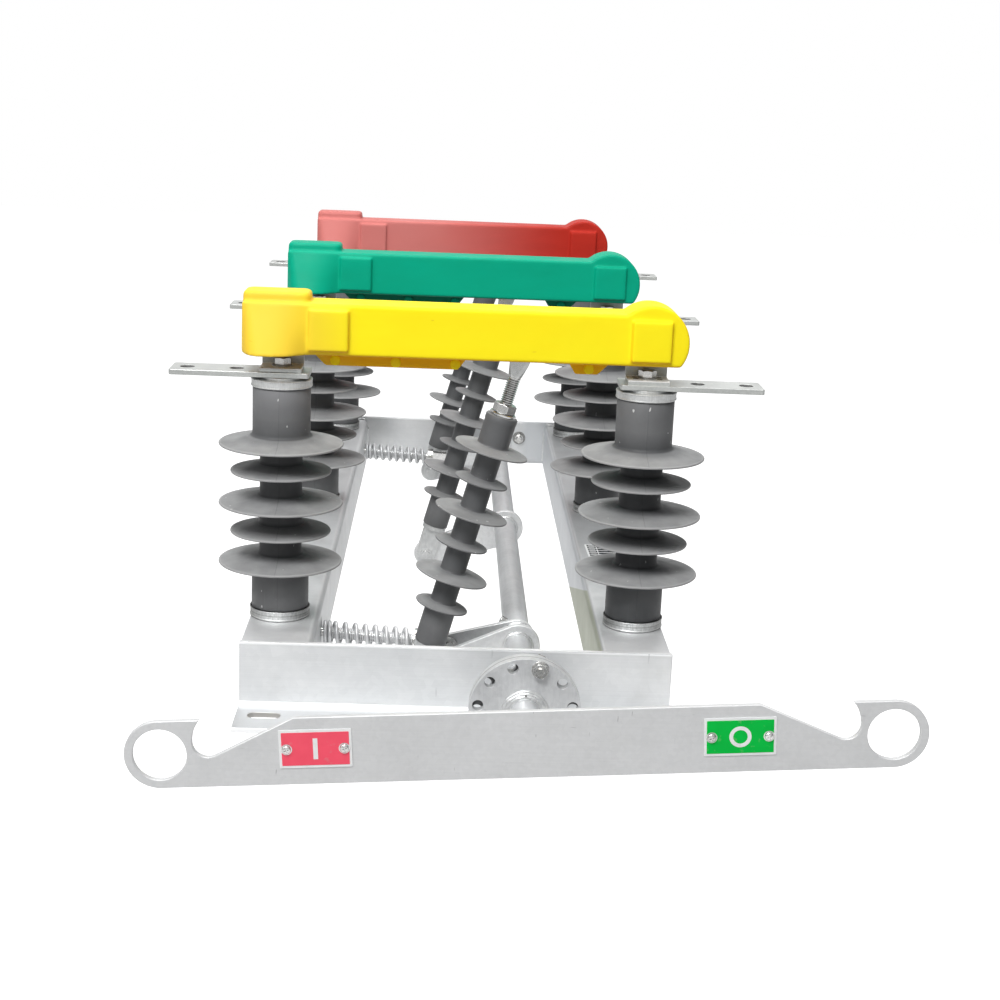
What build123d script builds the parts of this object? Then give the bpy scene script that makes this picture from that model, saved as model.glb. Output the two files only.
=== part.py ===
from build123d import *
import math
import os

# Three-pole outdoor disconnect switch on a folded-plate frame.
# Millimetres. X runs across the poles from contact side to hinge side, Y runs
# back from the operating lever, Z is up. The origin is the middle of the front
# foot's underside. Everything is drawn with the switch closed.

# ---------------------------------------------------------------- driving sizes
phase_count = 3
phase_spacing = 450.0
post_spacing = 350.0  # contact post to hinge post
frame_width = 406.0
plate = 5.0  # thickness of the folded frame plate
bend_radius = 5.0  # inside radius of the folds
web_height = 65.0  # front and rear members, outside
foot_depth = 65.0
side_top_width = 67.0
side_depth = 62.0
front_overhang = 97.0  # first post to the back of the front web
rear_overhang = 62.5  # last post to the near face of the rear web
slot_length = 30.0
slot_width = 14.0
slot_spacing = 353.0

shaft_x = 62.0
shaft_z = 36.0
shaft_diameter = 26.9
shaft_wall = 2.9
running_clearance = 0.08
weld_gap = 0.05  # bored pieces that are welded onto the shaft

post_ring_radius = 29.4
post_ring_height = 10.0
ring_edge = 0.8
cap_boss_radius = 21.5
cap_boss_height = 2.4
post_body_height = 219.5
post_end_radius = 27.8
post_core_radius = 20.5
large_shed_radius = 60.0
small_shed_radius = 48.8
# rim heights above the post's foot, from the lowest shed upward
post_rims = (54.3, 84.9, 113.2, 144.7, 171.9)
shed_rise = 12.0  # rim's underside to the top of the shed at the core
shed_root = 4.0  # rim's underside to the bottom of the shed at the core
shed_edge = 2.4

terminal_thickness = 5.0
terminal_width = 40.0
contact_terminal_end = 105.0  # from the post's axis outwards
hinge_terminal_end = 111.0
terminal_inner_end = 27.0
terminal_corner = 2.5
terminal_hole_radius = 7.0
terminal_hole_spacing = 47.0
terminal_hole_margin = 15.0  # outer hole to the outer end

pivot_height = 42.5  # blade pivot above the terminal's top face
bracket_thickness = 5.0
bracket_foot_thickness = 4.0
bracket_width = 40.0
bracket_bend = 6.0  # outside radius of the bend
bracket_corner = 5.0
vent_hole_radius = 2.2  # four small holes round the hinge bracket's bolt
vent_hole_offset = 11.5
finger_gap = 0.3  # blade strip to jaw or hinge plate
strip_side_play = 1.7  # rear strip to the cover's inside
strip_thickness = 4.0
strip_height = 30.0
pin_radius = 5.0

rod_pin_x = -36.0  # lower pin of a pull rod
rod_pin_z = 0.0
lug_x = 55.0  # upper pin of a pull rod
lug_z = 335.0
lug_width = 22.0
lug_gap = 0.7  # side play of the rod's eye between its two lugs
lug_play = 3.0  # radial play at the upper pin
rod_body_length = 241.0
rod_bottom_gap = 38.0  # lower pin to the insulator's end
rod_end_radius = 15.5
rod_core_radius = 12.6
rod_shed_rise = 6.5
rod_shed_root = 2.0
rod_shed_edge = 1.8
stud_radius = 6.2
nut_across = 20.0
nut_height = 9.0
collar_radius = 13.0
collar_height = 3.0
eye_length = 30.0  # upper pin to where the flattened eye runs into the stud
rod_large_shed_radius = 36.5
rod_small_shed_radius = 26.5
rod_shed_pitch = 33.0
rod_first_rim = 36.0  # below the insulator's top end
rod_shed_count = 6

crank_thickness = 8.0
crank_boss_radius = 22.0
crank_tip_radius = 15.0
fork_clearance = 1.0
fork_cheek = 4.0
fork_width = 24.0
fork_collar_height = 5.0

spring_offset = 30.0  # spring plane from the rod plane, towards mid-frame
spring_anchor_z = 34.0
spring_pin_x = -6.0
spring_pin_z = 26.0
spring_arm_thickness = 6.0
spring_outer_radius = 12.5
spring_wire = 4.0
spring_turns = 8.5
guide_radius = 4.5
guide_tail = 50.0  # guide rod beyond the side member's inner face
guide_swing = 9.6  # how far the guide rises in its slot
guide_slot_clearance = 1.5

disc_radius = 50.6
disc_thickness = 8.0
disc_gap = 6.0  # from the foot's edge to the rear disc
disc_hole_radius = 5.0
disc_hole_circle = 86.0
disc_bolt_angle = 74.0
stub_length = 68.4

lever_thickness = 6.0
lever_tilt = 3.44  # right end raised when closed
lever_half_height = 30.3
lever_shoulder = 198.5  # where the top edge starts to fall towards the notch
lever_eye_reach = 313.5
lever_eye_hole = 23.0
notch_reach = 272.0
notch_height = 10.0
notch_radius = 13.5
beak_reach = 278.0

cover_depth = 47.0
cover_height = 48.7
cover_wall = 2.5
cover_head_radius = 36.0
cover_head_drop = 2.0  # head's centre below the pivot
head_wall_raise = 8.0  # lower edge of the head's end wall above the head's centre
cover_bottom_drop = 24.0  # from the pivot down to the cover's underside
cover_edge = 3.0  # rounding of the cover's outer edges
hood_outer = 36.0  # hood's ends from the contact post's axis
hood_inner = 32.0
hood_bulge = 21.0  # how far the hood flares at its mouth, on each side
hood_corner = 8.0
hump_rise = 9.4
hump_setback = 4.5
hump_length = 65.7
hump_top_edge = 4.5
boss_width = 39.0
boss_proud = 5.0
boss_edge = 2.5
contact_boss_inset = 46.0  # from the contact post's axis towards the hinge
seam_thickness = 5.0
seam_drop = 12.8

# ---------------------------------------------------------------- worked out
foot_front = -foot_depth / 2
web_back = foot_depth / 2
side_top = side_depth
post_ys = [web_back + front_overhang + i * phase_spacing for i in range(phase_count)]
rear_web = post_ys[-1] + rear_overhang
half_spacing = post_spacing / 2
jaw_offset = (cover_depth / 2 - cover_wall - strip_side_play - strip_thickness - finger_gap
              - bracket_thickness / 2)  # bracket plates behind the post's axis
contact_boss_x = contact_boss_inset - half_spacing
hood_left = -half_spacing - hood_outer
hood_right = -half_spacing + hood_inner
post_z = side_top
cap_top = post_z + 2 * post_ring_height + post_body_height
terminal_top = cap_top + terminal_thickness
pivot_z = terminal_top + pivot_height
shaft_radius = shaft_diameter / 2
shaft_bore = shaft_radius + weld_gap
rod_fall = math.degrees(math.atan2(lug_x - rod_pin_x, lug_z - rod_pin_z))
rod_length = math.hypot(lug_x - rod_pin_x, lug_z - rod_pin_z)
side_inner = frame_width / 2 - side_top_width
spring_planes = (post_ys[0] + spring_offset, post_ys[-1] - spring_offset)
rear_disc_back = foot_front - disc_gap
front_disc_back = rear_disc_back - disc_thickness
front_disc_face = front_disc_back - disc_thickness
lever_back = front_disc_face - stub_length


def upright(sketch, y, depth):
    """Stand a sketch drawn in X and Z upright and give it depth, from y backwards."""
    return extrude(Plane(origin=(0, y, 0), x_dir=(1, 0, 0), z_dir=(0, -1, 0)) * sketch, -depth)


def rod_y(x, z, y, radius, length):
    """A round bar along +Y from y."""
    return Pos(x, y, z) * Rot(-90, 0, 0) * Cylinder(radius, length, align=(Align.CENTER, Align.CENTER, Align.MIN))


def save(name, *solids):
    shape = solids[0] if len(solids) == 1 else Compound(children=list(solids))
    export_step(shape, f"parts/{name}.step")


os.makedirs("parts", exist_ok=True)


# ---------------------------------------------------------------- frame
def folded_angle(leg_a, leg_b):
    """Section of a folded angle: leg_a along +X and leg_b along +Y from its outer corner."""
    section = Polyline((0, 0), (leg_a, 0), (leg_a, plate), (plate, plate), (plate, leg_b), (0, leg_b), close=True)
    face = make_face(section)
    outer = face.vertices().sort_by(lambda v: v.X + v.Y)[0]
    face = fillet(outer, bend_radius + plate)
    inner = [v for v in face.vertices() if abs(v.X - plate) < 0.01 and abs(v.Y - plate) < 0.01]
    return fillet(inner, bend_radius)


def cross_member(heel_y, outwards):
    """Front or rear member: web upright at heel_y, foot running outwards (-1 front, +1 rear)."""
    section = folded_angle(foot_depth, web_height)
    plane = Plane(origin=(-outwards * frame_width / 2, heel_y, 0), x_dir=(0, outwards, 0), z_dir=(outwards, 0, 0))
    body = extrude(plane * section, frame_width)
    slot = Pos(0, heel_y + outwards * foot_depth / 2, plate / 2) * extrude(
        SlotOverall(slot_length, slot_width), plate, both=True)
    for side in (-1, 1):
        body -= Pos(side * slot_spacing / 2, 0, 0) * slot
    return body


def side_member(side):
    """Side member: top leg outwards from the inner face, vertical leg hanging down."""
    section = folded_angle(side_top_width, side_depth)
    plane = Plane(origin=(side * side_inner, web_back, side_top), x_dir=(side, 0, 0), z_dir=(0, side, 0))
    length = rear_web - web_back
    return extrude(plane * section, side * length)


bush_radius = shaft_radius + running_clearance + 4.0
bush_flange_radius = bush_radius + 6.0
bush_flange = 4.0

front_member = cross_member(web_back, -1)
rear_member = cross_member(rear_web, 1)
front_member -= rod_y(shaft_x, shaft_z, web_back - plate - 1, bush_radius, plate + 2)
rear_member -= rod_y(shaft_x, shaft_z, rear_web - 1, bush_radius, plate + 2)
save("front_cross_member", front_member)
save("rear_cross_member", rear_member)

guide_slot_width = 2 * (guide_radius + guide_slot_clearance)
guide_slot_height = guide_slot_width + guide_swing
left_member = side_member(-1)
for plane_y in spring_planes:
    slot = extrude(Plane.YZ * SlotOverall(guide_slot_height, guide_slot_width, rotation=90), 2 * plate, both=True)
    left_member -= Pos(-side_inner - plate / 2, plane_y, spring_anchor_z + guide_swing / 2) * slot
save("left_side_member", left_member)
save("right_side_member", side_member(1))


def bush(y_flange, y_body, body_length):
    """Flanged plain bearing with its bore a running fit on the shaft."""
    shape = rod_y(shaft_x, shaft_z, y_body, bush_radius, body_length)
    shape += rod_y(shaft_x, shaft_z, y_flange, bush_flange_radius, bush_flange)
    return shape - rod_y(shaft_x, shaft_z, y_body - 10, shaft_radius + running_clearance, body_length + 20)


save("front_bearing", bush(web_back, web_back - plate, plate + bush_flange))
save("rear_bearing", bush(rear_web - bush_flange, rear_web - bush_flange, plate + bush_flange))


# ---------------------------------------------------------------- posts
def shed_edges(radius, z, core_below, core_above, rise, root, edge):
    """Half section of one shed, from the core below it to the core above: flat cone, thin rim, hollow top."""
    middle = (core_above + radius) / 2
    return [
        Line((core_below, z + root), (radius, z)),
        Line((radius, z), (radius, z + edge)),
        ThreePointArc((radius, z + edge), (middle, z + edge + 0.4 * (rise - edge)), (core_above, z + rise)),
    ]


def ribbed_insulator(length, end_radius, core_radius, sheds, rise, root, edge):
    """Solid of revolution about Z: thick ends, thinner core and a shed at each (radius, height)."""
    lines = [Line((0, 0), (end_radius, 0))]
    last = (end_radius, 0)
    for i, (radius, z) in enumerate(sheds):
        below = end_radius if i == 0 else core_radius
        above = end_radius if i == len(sheds) - 1 else core_radius
        lines.append(Line(last, (below, z + root)))
        lines += shed_edges(radius, z, below, above, rise, root, edge)
        last = (above, z + rise)
    lines += [Line(last, (end_radius, length)), Line((end_radius, length), (0, length)), Line((0, length), (0, 0))]
    return revolve(Plane.XZ * make_face(lines), Axis.Z)


def post_insulator(x, y):
    sheds = [(small_shed_radius if i % 2 else large_shed_radius, rim - post_ring_height)
             for i, rim in enumerate(post_rims)]
    body = ribbed_insulator(post_body_height, post_end_radius, post_core_radius, sheds,
                            shed_rise, shed_root, shed_edge)
    return Pos(x, y, post_z + post_ring_height) * body


for i, y in enumerate(post_ys):
    save(f"contact_post_{i + 1}", post_insulator(-half_spacing, y))
    save(f"hinge_post_{i + 1}", post_insulator(half_spacing, y))

post_places = [(side * half_spacing, y) for side in (-1, 1) for y in post_ys]
on_base = (Align.CENTER, Align.CENTER, Align.MIN)
base_ring = Cylinder(post_ring_radius, post_ring_height, align=on_base)
base_ring = chamfer(base_ring.edges(), ring_edge)
cap_ring = Cylinder(post_ring_radius, post_ring_height - cap_boss_height, align=on_base)
cap_ring = chamfer(cap_ring.edges(), ring_edge)
cap_ring += Cylinder(cap_boss_radius, post_ring_height, align=on_base)
save("post_base_flanges", *[Pos(x, y, post_z) * base_ring for x, y in post_places])
save("post_top_caps", *[Pos(x, y, cap_top - post_ring_height) * cap_ring for x, y in post_places])


# ---------------------------------------------------------------- terminals and brackets
def terminal(side, y, outer_end):
    outline = RectangleRounded(outer_end + terminal_inner_end, terminal_width, terminal_corner)
    middle = side * (half_spacing + (outer_end - terminal_inner_end) / 2)
    bar = Pos(middle, y, cap_top) * extrude(outline, terminal_thickness)
    outer_hole = half_spacing + outer_end - terminal_hole_margin
    for x in (outer_hole, outer_hole - terminal_hole_spacing):
        bar -= Pos(side * x, y, cap_top) * Cylinder(terminal_hole_radius, 4 * terminal_thickness)
    return bar


save("contact_terminals", *[terminal(-1, y, contact_terminal_end) for y in post_ys])
save("hinge_terminals", *[terminal(1, y, hinge_terminal_end) for y in post_ys])


def blade_bracket(side, y):
    """Bent strip on a terminal: the foot lies under the post's bolt, the upright stands in the blade."""
    back = y + jaw_offset + bracket_thickness / 2
    front = y - terminal_width / 2 + 2
    top = pivot_z + strip_height / 2 - 2
    foot_top = terminal_top + bracket_foot_thickness
    section = make_face(Polyline(
        (front, terminal_top), (back, terminal_top), (back, top), (back - bracket_thickness, top),
        (back - bracket_thickness, foot_top), (front, foot_top), close=True))
    heel = section.vertices().sort_by(lambda v: v.Y - v.X)[0]
    section = fillet(heel, bracket_bend)
    strip = extrude(Plane.YZ * section, bracket_width / 2, both=True)
    corners = strip.edges().filter_by(Axis.Y).group_by(Axis.Z)[-1]
    return Pos(side * half_spacing, 0, 0) * fillet(corners, bracket_corner)


def hinge_bracket(y):
    strip = blade_bracket(1, y)
    strip -= rod_y(half_spacing, pivot_z, y, pin_radius + running_clearance, 2 * jaw_offset)
    for dx in (-vent_hole_offset, vent_hole_offset):
        for dy in (-0.4 * vent_hole_offset, 0.4 * vent_hole_offset):
            strip -= Pos(half_spacing + dx, y + dy, terminal_top) * Cylinder(vent_hole_radius, 4 * bracket_foot_thickness)
    return strip


save("contact_jaws", *[blade_bracket(-1, y) for y in post_ys])
save("hinge_brackets", *[hinge_bracket(y) for y in post_ys])


# ---------------------------------------------------------------- blades and covers
def lug_outline():
    return make_hull((Pos(lug_x, lug_z) * Circle(lug_width / 2)).edges()
                     + (Pos(lug_x, pivot_z) * Rectangle(2 * lug_width, 10)).edges())


def blade(y):
    """Two copper strips astride the bracket plates, with the lug plates and the cross pins."""
    left = -half_spacing - bracket_width / 2
    right = half_spacing + strip_height / 2
    inner = bracket_thickness / 2 + finger_gap
    strip = Pos((left + right) / 2, pivot_z) * RectangleRounded(right - left, strip_height, 6)
    front_strip = y + jaw_offset - inner - strip_thickness
    rear_strip = y + jaw_offset + inner
    front_lug = 2 * y - front_strip - strip_thickness
    body = upright(strip + lug_outline(), front_strip, strip_thickness)
    body += upright(strip, rear_strip, strip_thickness)
    body += upright(lug_outline(), front_lug, strip_thickness)
    half_inside = cover_depth / 2 - cover_wall
    for x in (contact_boss_x, half_spacing):
        body += rod_y(x, pivot_z, y - half_inside, pin_radius, 2 * half_inside)
    body += rod_y(lug_x, lug_z, front_lug - 2, pin_radius - 1, rear_strip - front_lug + 2)
    body += rod_y(lug_x, pivot_z + 6, front_lug - 2, pin_radius - 1, rear_strip - front_lug + 2)
    return body


def cover_outline(inset=0.0):
    """Side view of a cover: a straight bar that ends in a round head at the pivot."""
    bottom = pivot_z - cover_bottom_drop
    bar = Pos((half_spacing + hood_left) / 2, bottom + cover_height / 2) * Rectangle(
        half_spacing - hood_left - 2 * inset, cover_height - 2 * inset)
    head = Pos(half_spacing, pivot_z - cover_head_drop) * Circle(cover_head_radius - inset)
    head -= Pos(half_spacing, bottom + inset - cover_head_radius) * Rectangle(
        4 * cover_head_radius, 2 * cover_head_radius)
    return bar + head


def hood_section(height, bulge, inset=0.0):
    """Level section of the hood, symmetric about the blade: straight ends and a front that swells by bulge."""
    left = hood_left + inset
    right = hood_right - inset
    half = cover_depth / 2 - inset
    knee = hood_corner + 0.45 * bulge
    crest = half + bulge
    edges = []
    for side in (-1, 1):
        edges += [
            ThreePointArc((left, side * (half - hood_corner)), (left + 0.25 * knee, side * (half - 2 + 0.62 * bulge)),
                          (left + knee, side * crest)),
            Spline((left + knee, side * crest), ((left + right) / 2 + 6, side * (crest - 0.12 * bulge)),
                   (right - 10, side * (half + 0.28 * bulge)), (right, side * half),
                   tangents=((1, 0), (1, 0))),
        ]
    edges += [Line((left, half - hood_corner), (left, hood_corner - half)), Line((right, half), (right, -half))]
    return Pos(0, 0, height) * make_face(edges)


def hood(y, inset=0.0):
    """Flared hood over the fixed contact: flush with the bar at the top, swollen at its mouth."""
    bottom = pivot_z - cover_bottom_drop
    mouth = hood_section(bottom - (0.5 if inset else 0), hood_bulge, inset)
    roof = hood_section(bottom + cover_height - inset, 0.0, inset)
    return Pos(0, y, 0) * loft([mouth, roof])


def seam_flange(x0, x1, left_run, right_run, y):
    """Riveted flange under the cover's bar. Its ends slope inwards by their runs."""
    bottom = pivot_z - cover_bottom_drop
    outline = Polyline((x0, bottom + 1), (x1, bottom + 1), (x1 - right_run, bottom - seam_drop),
                       (x0 + left_run, bottom - seam_drop), close=True)
    return upright(make_face(outline), y - seam_thickness / 2, seam_thickness)


def cover(y):
    """Moulded insulating cover, open below at the jaw, at the pull rod and at the hinge."""
    bottom = pivot_z - cover_bottom_drop
    top = bottom + cover_height
    inner_depth = cover_depth - 2 * cover_wall
    hump_centre = hood_left + hump_length / 2
    body = upright(cover_outline(), y - cover_depth / 2, cover_depth)
    body = fillet(body.edges().filter_by(Axis.Y, reverse=True), cover_edge)
    hump = RectangleRounded(hump_length, cover_depth - 2 * hump_setback, hood_corner)
    hump = extrude(Pos(hump_centre, y, pivot_z) * hump, top + hump_rise - pivot_z)
    hump = fillet(hump.edges().group_by(Axis.Z)[-1], hump_top_edge)
    for x in (contact_boss_x, half_spacing):
        boss = Box(boss_width, cover_depth + 2 * boss_proud, boss_width)
        boss = fillet(boss.edges().filter_by(Axis.Y, reverse=True), boss_edge)
        body += Pos(x, y, pivot_z) * boss
    body = body + hood(y) + hump
    body -= upright(cover_outline(cover_wall), y - inner_depth / 2, inner_depth)
    body -= hood(y, cover_wall)
    rod_gap = (14, 90)
    body -= Pos(sum(rod_gap) / 2, y, bottom) * Box(rod_gap[1] - rod_gap[0], inner_depth, 4 * cover_wall)
    head_gap = (half_spacing - 36, half_spacing + cover_head_radius + 5)
    gap_height = cover_bottom_drop - cover_head_drop + head_wall_raise
    body -= Pos(sum(head_gap) / 2, y, bottom + gap_height / 2) * Box(
        head_gap[1] - head_gap[0], inner_depth, gap_height + 0.01)
    return body + seam_flange(hood_right - 9, 6, 18, 13, y) + seam_flange(94, 145, 11, 18, y)


for i, (y, colour) in enumerate(zip(post_ys, ("yellow", "green", "red"))):
    save(f"blade_{i + 1}", blade(y))
    save(f"cover_{colour}", cover(y))


# ---------------------------------------------------------------- pull rods
def along_rod(y, distance):
    """Place on a pull rod's axis, at a distance above its lower pin, with +Z along the rod."""
    t = distance / rod_length
    x = rod_pin_x + t * (lug_x - rod_pin_x)
    z = rod_pin_z + t * (lug_z - rod_pin_z)
    return Pos(x, y, z) * Rot(0, rod_fall, 0)


def pull_rod(y):
    rims = [rod_body_length - rod_first_rim - k * rod_shed_pitch for k in range(rod_shed_count)][::-1]
    sheds = [(rod_large_shed_radius if k % 2 else rod_small_shed_radius, z) for k, z in enumerate(rims)]
    body = ribbed_insulator(rod_body_length, rod_end_radius, rod_core_radius, sheds,
                            rod_shed_rise, rod_shed_root, rod_shed_edge)
    return along_rod(y, rod_bottom_gap) * body


def rod_fork(y):
    """Lower fork with its pin, astride the crank plate, under a round collar."""
    inner = crank_thickness / 2 + fork_clearance
    width = 2 * (inner + fork_cheek)
    outline = make_hull(Circle(fork_width / 2).edges()
                        + (Pos(0, rod_bottom_gap - fork_collar_height - 4) * Rectangle(fork_width, 8)).edges())
    body = extrude(Plane.XZ * outline, width / 2, both=True)
    slot_top = rod_bottom_gap - fork_collar_height
    slot_height = slot_top + fork_width / 2 + 1
    body -= Pos(0, 0, slot_top - slot_height / 2) * Box(2 * fork_width, 2 * inner, slot_height)
    collar = Cylinder(rod_end_radius - 1, fork_collar_height, align=on_base)
    body += Pos(0, 0, rod_bottom_gap - fork_collar_height) * collar
    body += Rot(90, 0, 0) * Cylinder(pin_radius, width + 8)
    head = Cylinder(pin_radius + 2.5, 2.5, align=on_base)
    body += Pos(0, -width / 2, 0) * Rot(90, 0, 0) * head
    return along_rod(y, 0) * body


def rod_eye(y):
    """Upper fitting: collar, lock nut, threaded stud and the flattened eye between the blade's lugs."""
    base = rod_bottom_gap + rod_body_length
    reach = rod_length - base
    eye_thickness = 2 * (jaw_offset - bracket_thickness / 2 - finger_gap - strip_thickness - lug_gap)
    eye_hole = pin_radius - 1 + lug_play
    body = Cylinder(stud_radius, reach - eye_length, align=on_base)
    body += Cylinder(collar_radius, collar_height, align=on_base)
    body += Pos(0, 0, collar_height) * extrude(RegularPolygon(nut_across / 2, 6, major_radius=False), nut_height)
    eye = make_hull((Pos(0, reach) * Circle(eye_hole + 3.5)).edges()
                    + (Pos(0, reach - 12) * Circle(eye_hole + 2.5)).edges()
                    + (Pos(0, reach - eye_length) * Circle(stud_radius)).edges())
    body += extrude(Plane.XZ * eye, eye_thickness / 2, both=True)
    body -= Pos(0, 0, reach) * Rot(90, 0, 0) * Cylinder(eye_hole, 20)
    return along_rod(y, base) * body


for i, y in enumerate(post_ys):
    save(f"pull_rod_{i + 1}", pull_rod(y))
    save(f"rod_fork_{i + 1}", rod_fork(y))
    save(f"rod_eye_{i + 1}", rod_eye(y))


# ---------------------------------------------------------------- shaft
shaft_end = rear_web + plate + 8
shaft = rod_y(shaft_x, shaft_z, front_disc_back, shaft_radius, shaft_end - front_disc_back)
shaft -= rod_y(shaft_x, shaft_z, front_disc_back - 1, shaft_radius - shaft_wall, shaft_end - front_disc_back + 2)
save("shaft_tube", shaft)


def arm_plate(plane_y, thickness, boss_radius, tip, tip_radius, pin_hole):
    """Flat arm from the shaft to a pin, with both ends round and the sides tangent to them."""
    outline = make_hull(
        (Pos(shaft_x, shaft_z) * Circle(boss_radius)).edges() + (Pos(*tip) * Circle(tip_radius)).edges())
    outline -= Pos(shaft_x, shaft_z) * Circle(shaft_bore)
    outline -= Pos(*tip) * Circle(pin_hole)
    return upright(outline, plane_y - thickness / 2, thickness)


for i, y in enumerate(post_ys):
    save(f"crank_{i + 1}", arm_plate(y, crank_thickness, crank_boss_radius, (rod_pin_x, rod_pin_z),
                                     crank_tip_radius, pin_radius + running_clearance))
save("spring_arms", *[arm_plate(y, spring_arm_thickness, 20.0, (spring_pin_x, spring_pin_z), 10.0,
                                pin_radius - 1 + running_clearance) for y in spring_planes])


# ---------------------------------------------------------------- springs
spring_seat_x = -side_inner
spring_fall = math.degrees(math.atan2(spring_anchor_z - spring_pin_z, spring_pin_x - spring_seat_x))
spring_reach = math.hypot(spring_anchor_z - spring_pin_z, spring_pin_x - spring_seat_x)
spring_start = 36.0  # from the pin to the spring's shoulder


def along_guide(plane_y, distance):
    """Place on a guide rod's axis, at a distance from its pin, with +Z towards the side member."""
    t = distance / spring_reach
    x = spring_pin_x + t * (spring_seat_x - spring_pin_x)
    z = spring_pin_z + t * (spring_anchor_z - spring_pin_z)
    return Pos(x, plane_y, z) * Rot(0, -90 + spring_fall, 0)


def spring_guide(plane_y):
    inner = spring_arm_thickness / 2 + fork_clearance
    width = 2 * (inner + 3)
    fork = Pos(0, 0, 14) * Box(16, width, 28)
    fork += Rot(90, 0, 0) * Cylinder(8, width)
    fork -= Pos(0, 0, 0) * Box(40, 2 * inner, 44)
    fork += Rot(90, 0, 0) * Cylinder(pin_radius - 1, width + 6)
    shoulder = Pos(0, 0, 28) * Cylinder(12, spring_start - 28, align=(Align.CENTER, Align.CENTER, Align.MIN))
    length = spring_reach + guide_tail - 28
    bar = Pos(0, 0, 28) * Cylinder(guide_radius, length, align=(Align.CENTER, Align.CENTER, Align.MIN))
    return along_guide(plane_y, 0) * (fork + shoulder + bar)


def spring_sleeve(plane_y):
    length = spring_reach - spring_start - 1.5
    tube = Cylinder(spring_outer_radius, length, align=(Align.CENTER, Align.CENTER, Align.MIN))
    tube -= Cylinder(spring_outer_radius - spring_wire, 3 * length)
    return along_guide(plane_y, spring_start) * tube


for name, plane_y in zip(("front", "rear"), spring_planes):
    save(f"spring_guide_{name}", spring_guide(plane_y))
    save(f"spring_{name}", spring_sleeve(plane_y))


# ---------------------------------------------------------------- coupling discs and lever
def disc(y_front, hole_count, bored):
    """Coupling disc with a circle of holes, one of which always stands at the bolt's place."""
    outline = Pos(shaft_x, shaft_z) * Circle(disc_radius)
    for k in range(hole_count):
        angle = math.radians(disc_bolt_angle + k * 360 / hole_count)
        outline -= Pos(shaft_x + disc_hole_circle / 2 * math.cos(angle),
                       shaft_z + disc_hole_circle / 2 * math.sin(angle)) * Circle(disc_hole_radius)
    if bored:
        outline -= Pos(shaft_x, shaft_z) * Circle(shaft_bore)
    return upright(outline, y_front, disc_thickness)


save("shaft_flange", disc(front_disc_back, 10, True))
save("lever_flange", disc(front_disc_face, 11, False))
stub = rod_y(shaft_x, shaft_z, lever_back, shaft_radius, stub_length)
stub -= rod_y(shaft_x, shaft_z, lever_back - 1, shaft_radius - shaft_wall, stub_length + 2)
save("lever_stub", stub)


def lever_outline():
    """Flat bar with a round eye at each end; inboard of each eye a hooked notch opens upwards."""
    top = lever_half_height
    across = notch_reach - lever_shoulder
    fall = math.hypot(across, top - notch_height)
    slope = -math.atan2(top - notch_height, across) - math.asin(notch_radius / fall)
    run = math.sqrt(fall ** 2 - notch_radius ** 2)
    touch = (lever_shoulder + run * math.cos(slope), top + run * math.sin(slope))
    floor = (notch_reach, notch_height - notch_radius)
    wall = (notch_reach + notch_radius, notch_height)
    beak_middle = ((wall[0] + beak_reach) / 2 + 1.5, (wall[1] + top) / 2 + 1.5)
    notch = make_face([
        Line((lever_shoulder, top), touch), ThreePointArc(touch, floor, wall),
        ThreePointArc(wall, beak_middle, (beak_reach, top)), Line((beak_reach, top), (beak_reach, top + 9)),
        Line((beak_reach, top + 9), (lever_shoulder, top + 9)), Line((lever_shoulder, top + 9), (lever_shoulder, top))])
    side = Pos(lever_eye_reach / 2, 0) * Rectangle(lever_eye_reach, 2 * top)
    side += Pos(lever_eye_reach, 0) * Circle(top)
    side -= notch
    side -= Pos(lever_eye_reach, 0) * Circle(lever_eye_hole)
    return side + mirror(side, Plane.YZ)


lever_face = Pos(shaft_x, shaft_z) * Rot(0, 0, lever_tilt) * lever_outline()
lever = upright(lever_face, lever_back - lever_thickness, lever_thickness)
save("lever_bar", lever)
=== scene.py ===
import bmesh
import bpy
import math
import random
from mathutils import Matrix, Vector


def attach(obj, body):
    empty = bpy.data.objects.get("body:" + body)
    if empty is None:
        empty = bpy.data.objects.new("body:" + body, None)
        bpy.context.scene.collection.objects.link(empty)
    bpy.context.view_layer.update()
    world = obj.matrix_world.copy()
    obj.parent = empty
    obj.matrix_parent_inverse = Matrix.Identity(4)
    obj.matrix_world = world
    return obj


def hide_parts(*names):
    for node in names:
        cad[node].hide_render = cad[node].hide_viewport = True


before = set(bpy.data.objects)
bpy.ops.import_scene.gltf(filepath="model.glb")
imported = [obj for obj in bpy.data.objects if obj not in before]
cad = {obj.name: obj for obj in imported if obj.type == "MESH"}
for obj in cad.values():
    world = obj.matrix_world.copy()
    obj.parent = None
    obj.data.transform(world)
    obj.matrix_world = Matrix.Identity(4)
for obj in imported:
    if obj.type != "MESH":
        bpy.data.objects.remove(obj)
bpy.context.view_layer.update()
scene = bpy.context.scene

# ---------------------------------------------------------------- studio
# A pale floor well below the frame, a large soft box high at the front left, a wide one
# overhead and a weak one at the left, with the camera a little above the covers.
camera_place = Vector((-0.01899, -1.4858, 0.59366))
yaw, pitch, roll = math.radians(2.03), math.radians(14.19), math.radians(2.38)
ahead = Vector((math.sin(yaw) * math.cos(pitch), math.cos(yaw) * math.cos(pitch), -math.sin(pitch)))
level_right = Vector((math.cos(yaw), -math.sin(yaw), 0))
level_up = level_right.cross(ahead)
camera_right = math.cos(roll) * level_right + math.sin(roll) * level_up
camera_up = math.cos(roll) * level_up - math.sin(roll) * level_right
camera_data = bpy.data.cameras.new("camera")
camera_data.lens = 61.44
camera_data.sensor_width = 36
camera_data.clip_start, camera_data.clip_end = 0.05, 60
camera = bpy.data.objects.new("camera", camera_data)
scene.collection.objects.link(camera)
turn = Matrix((camera_right, camera_up, -ahead)).transposed()
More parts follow.
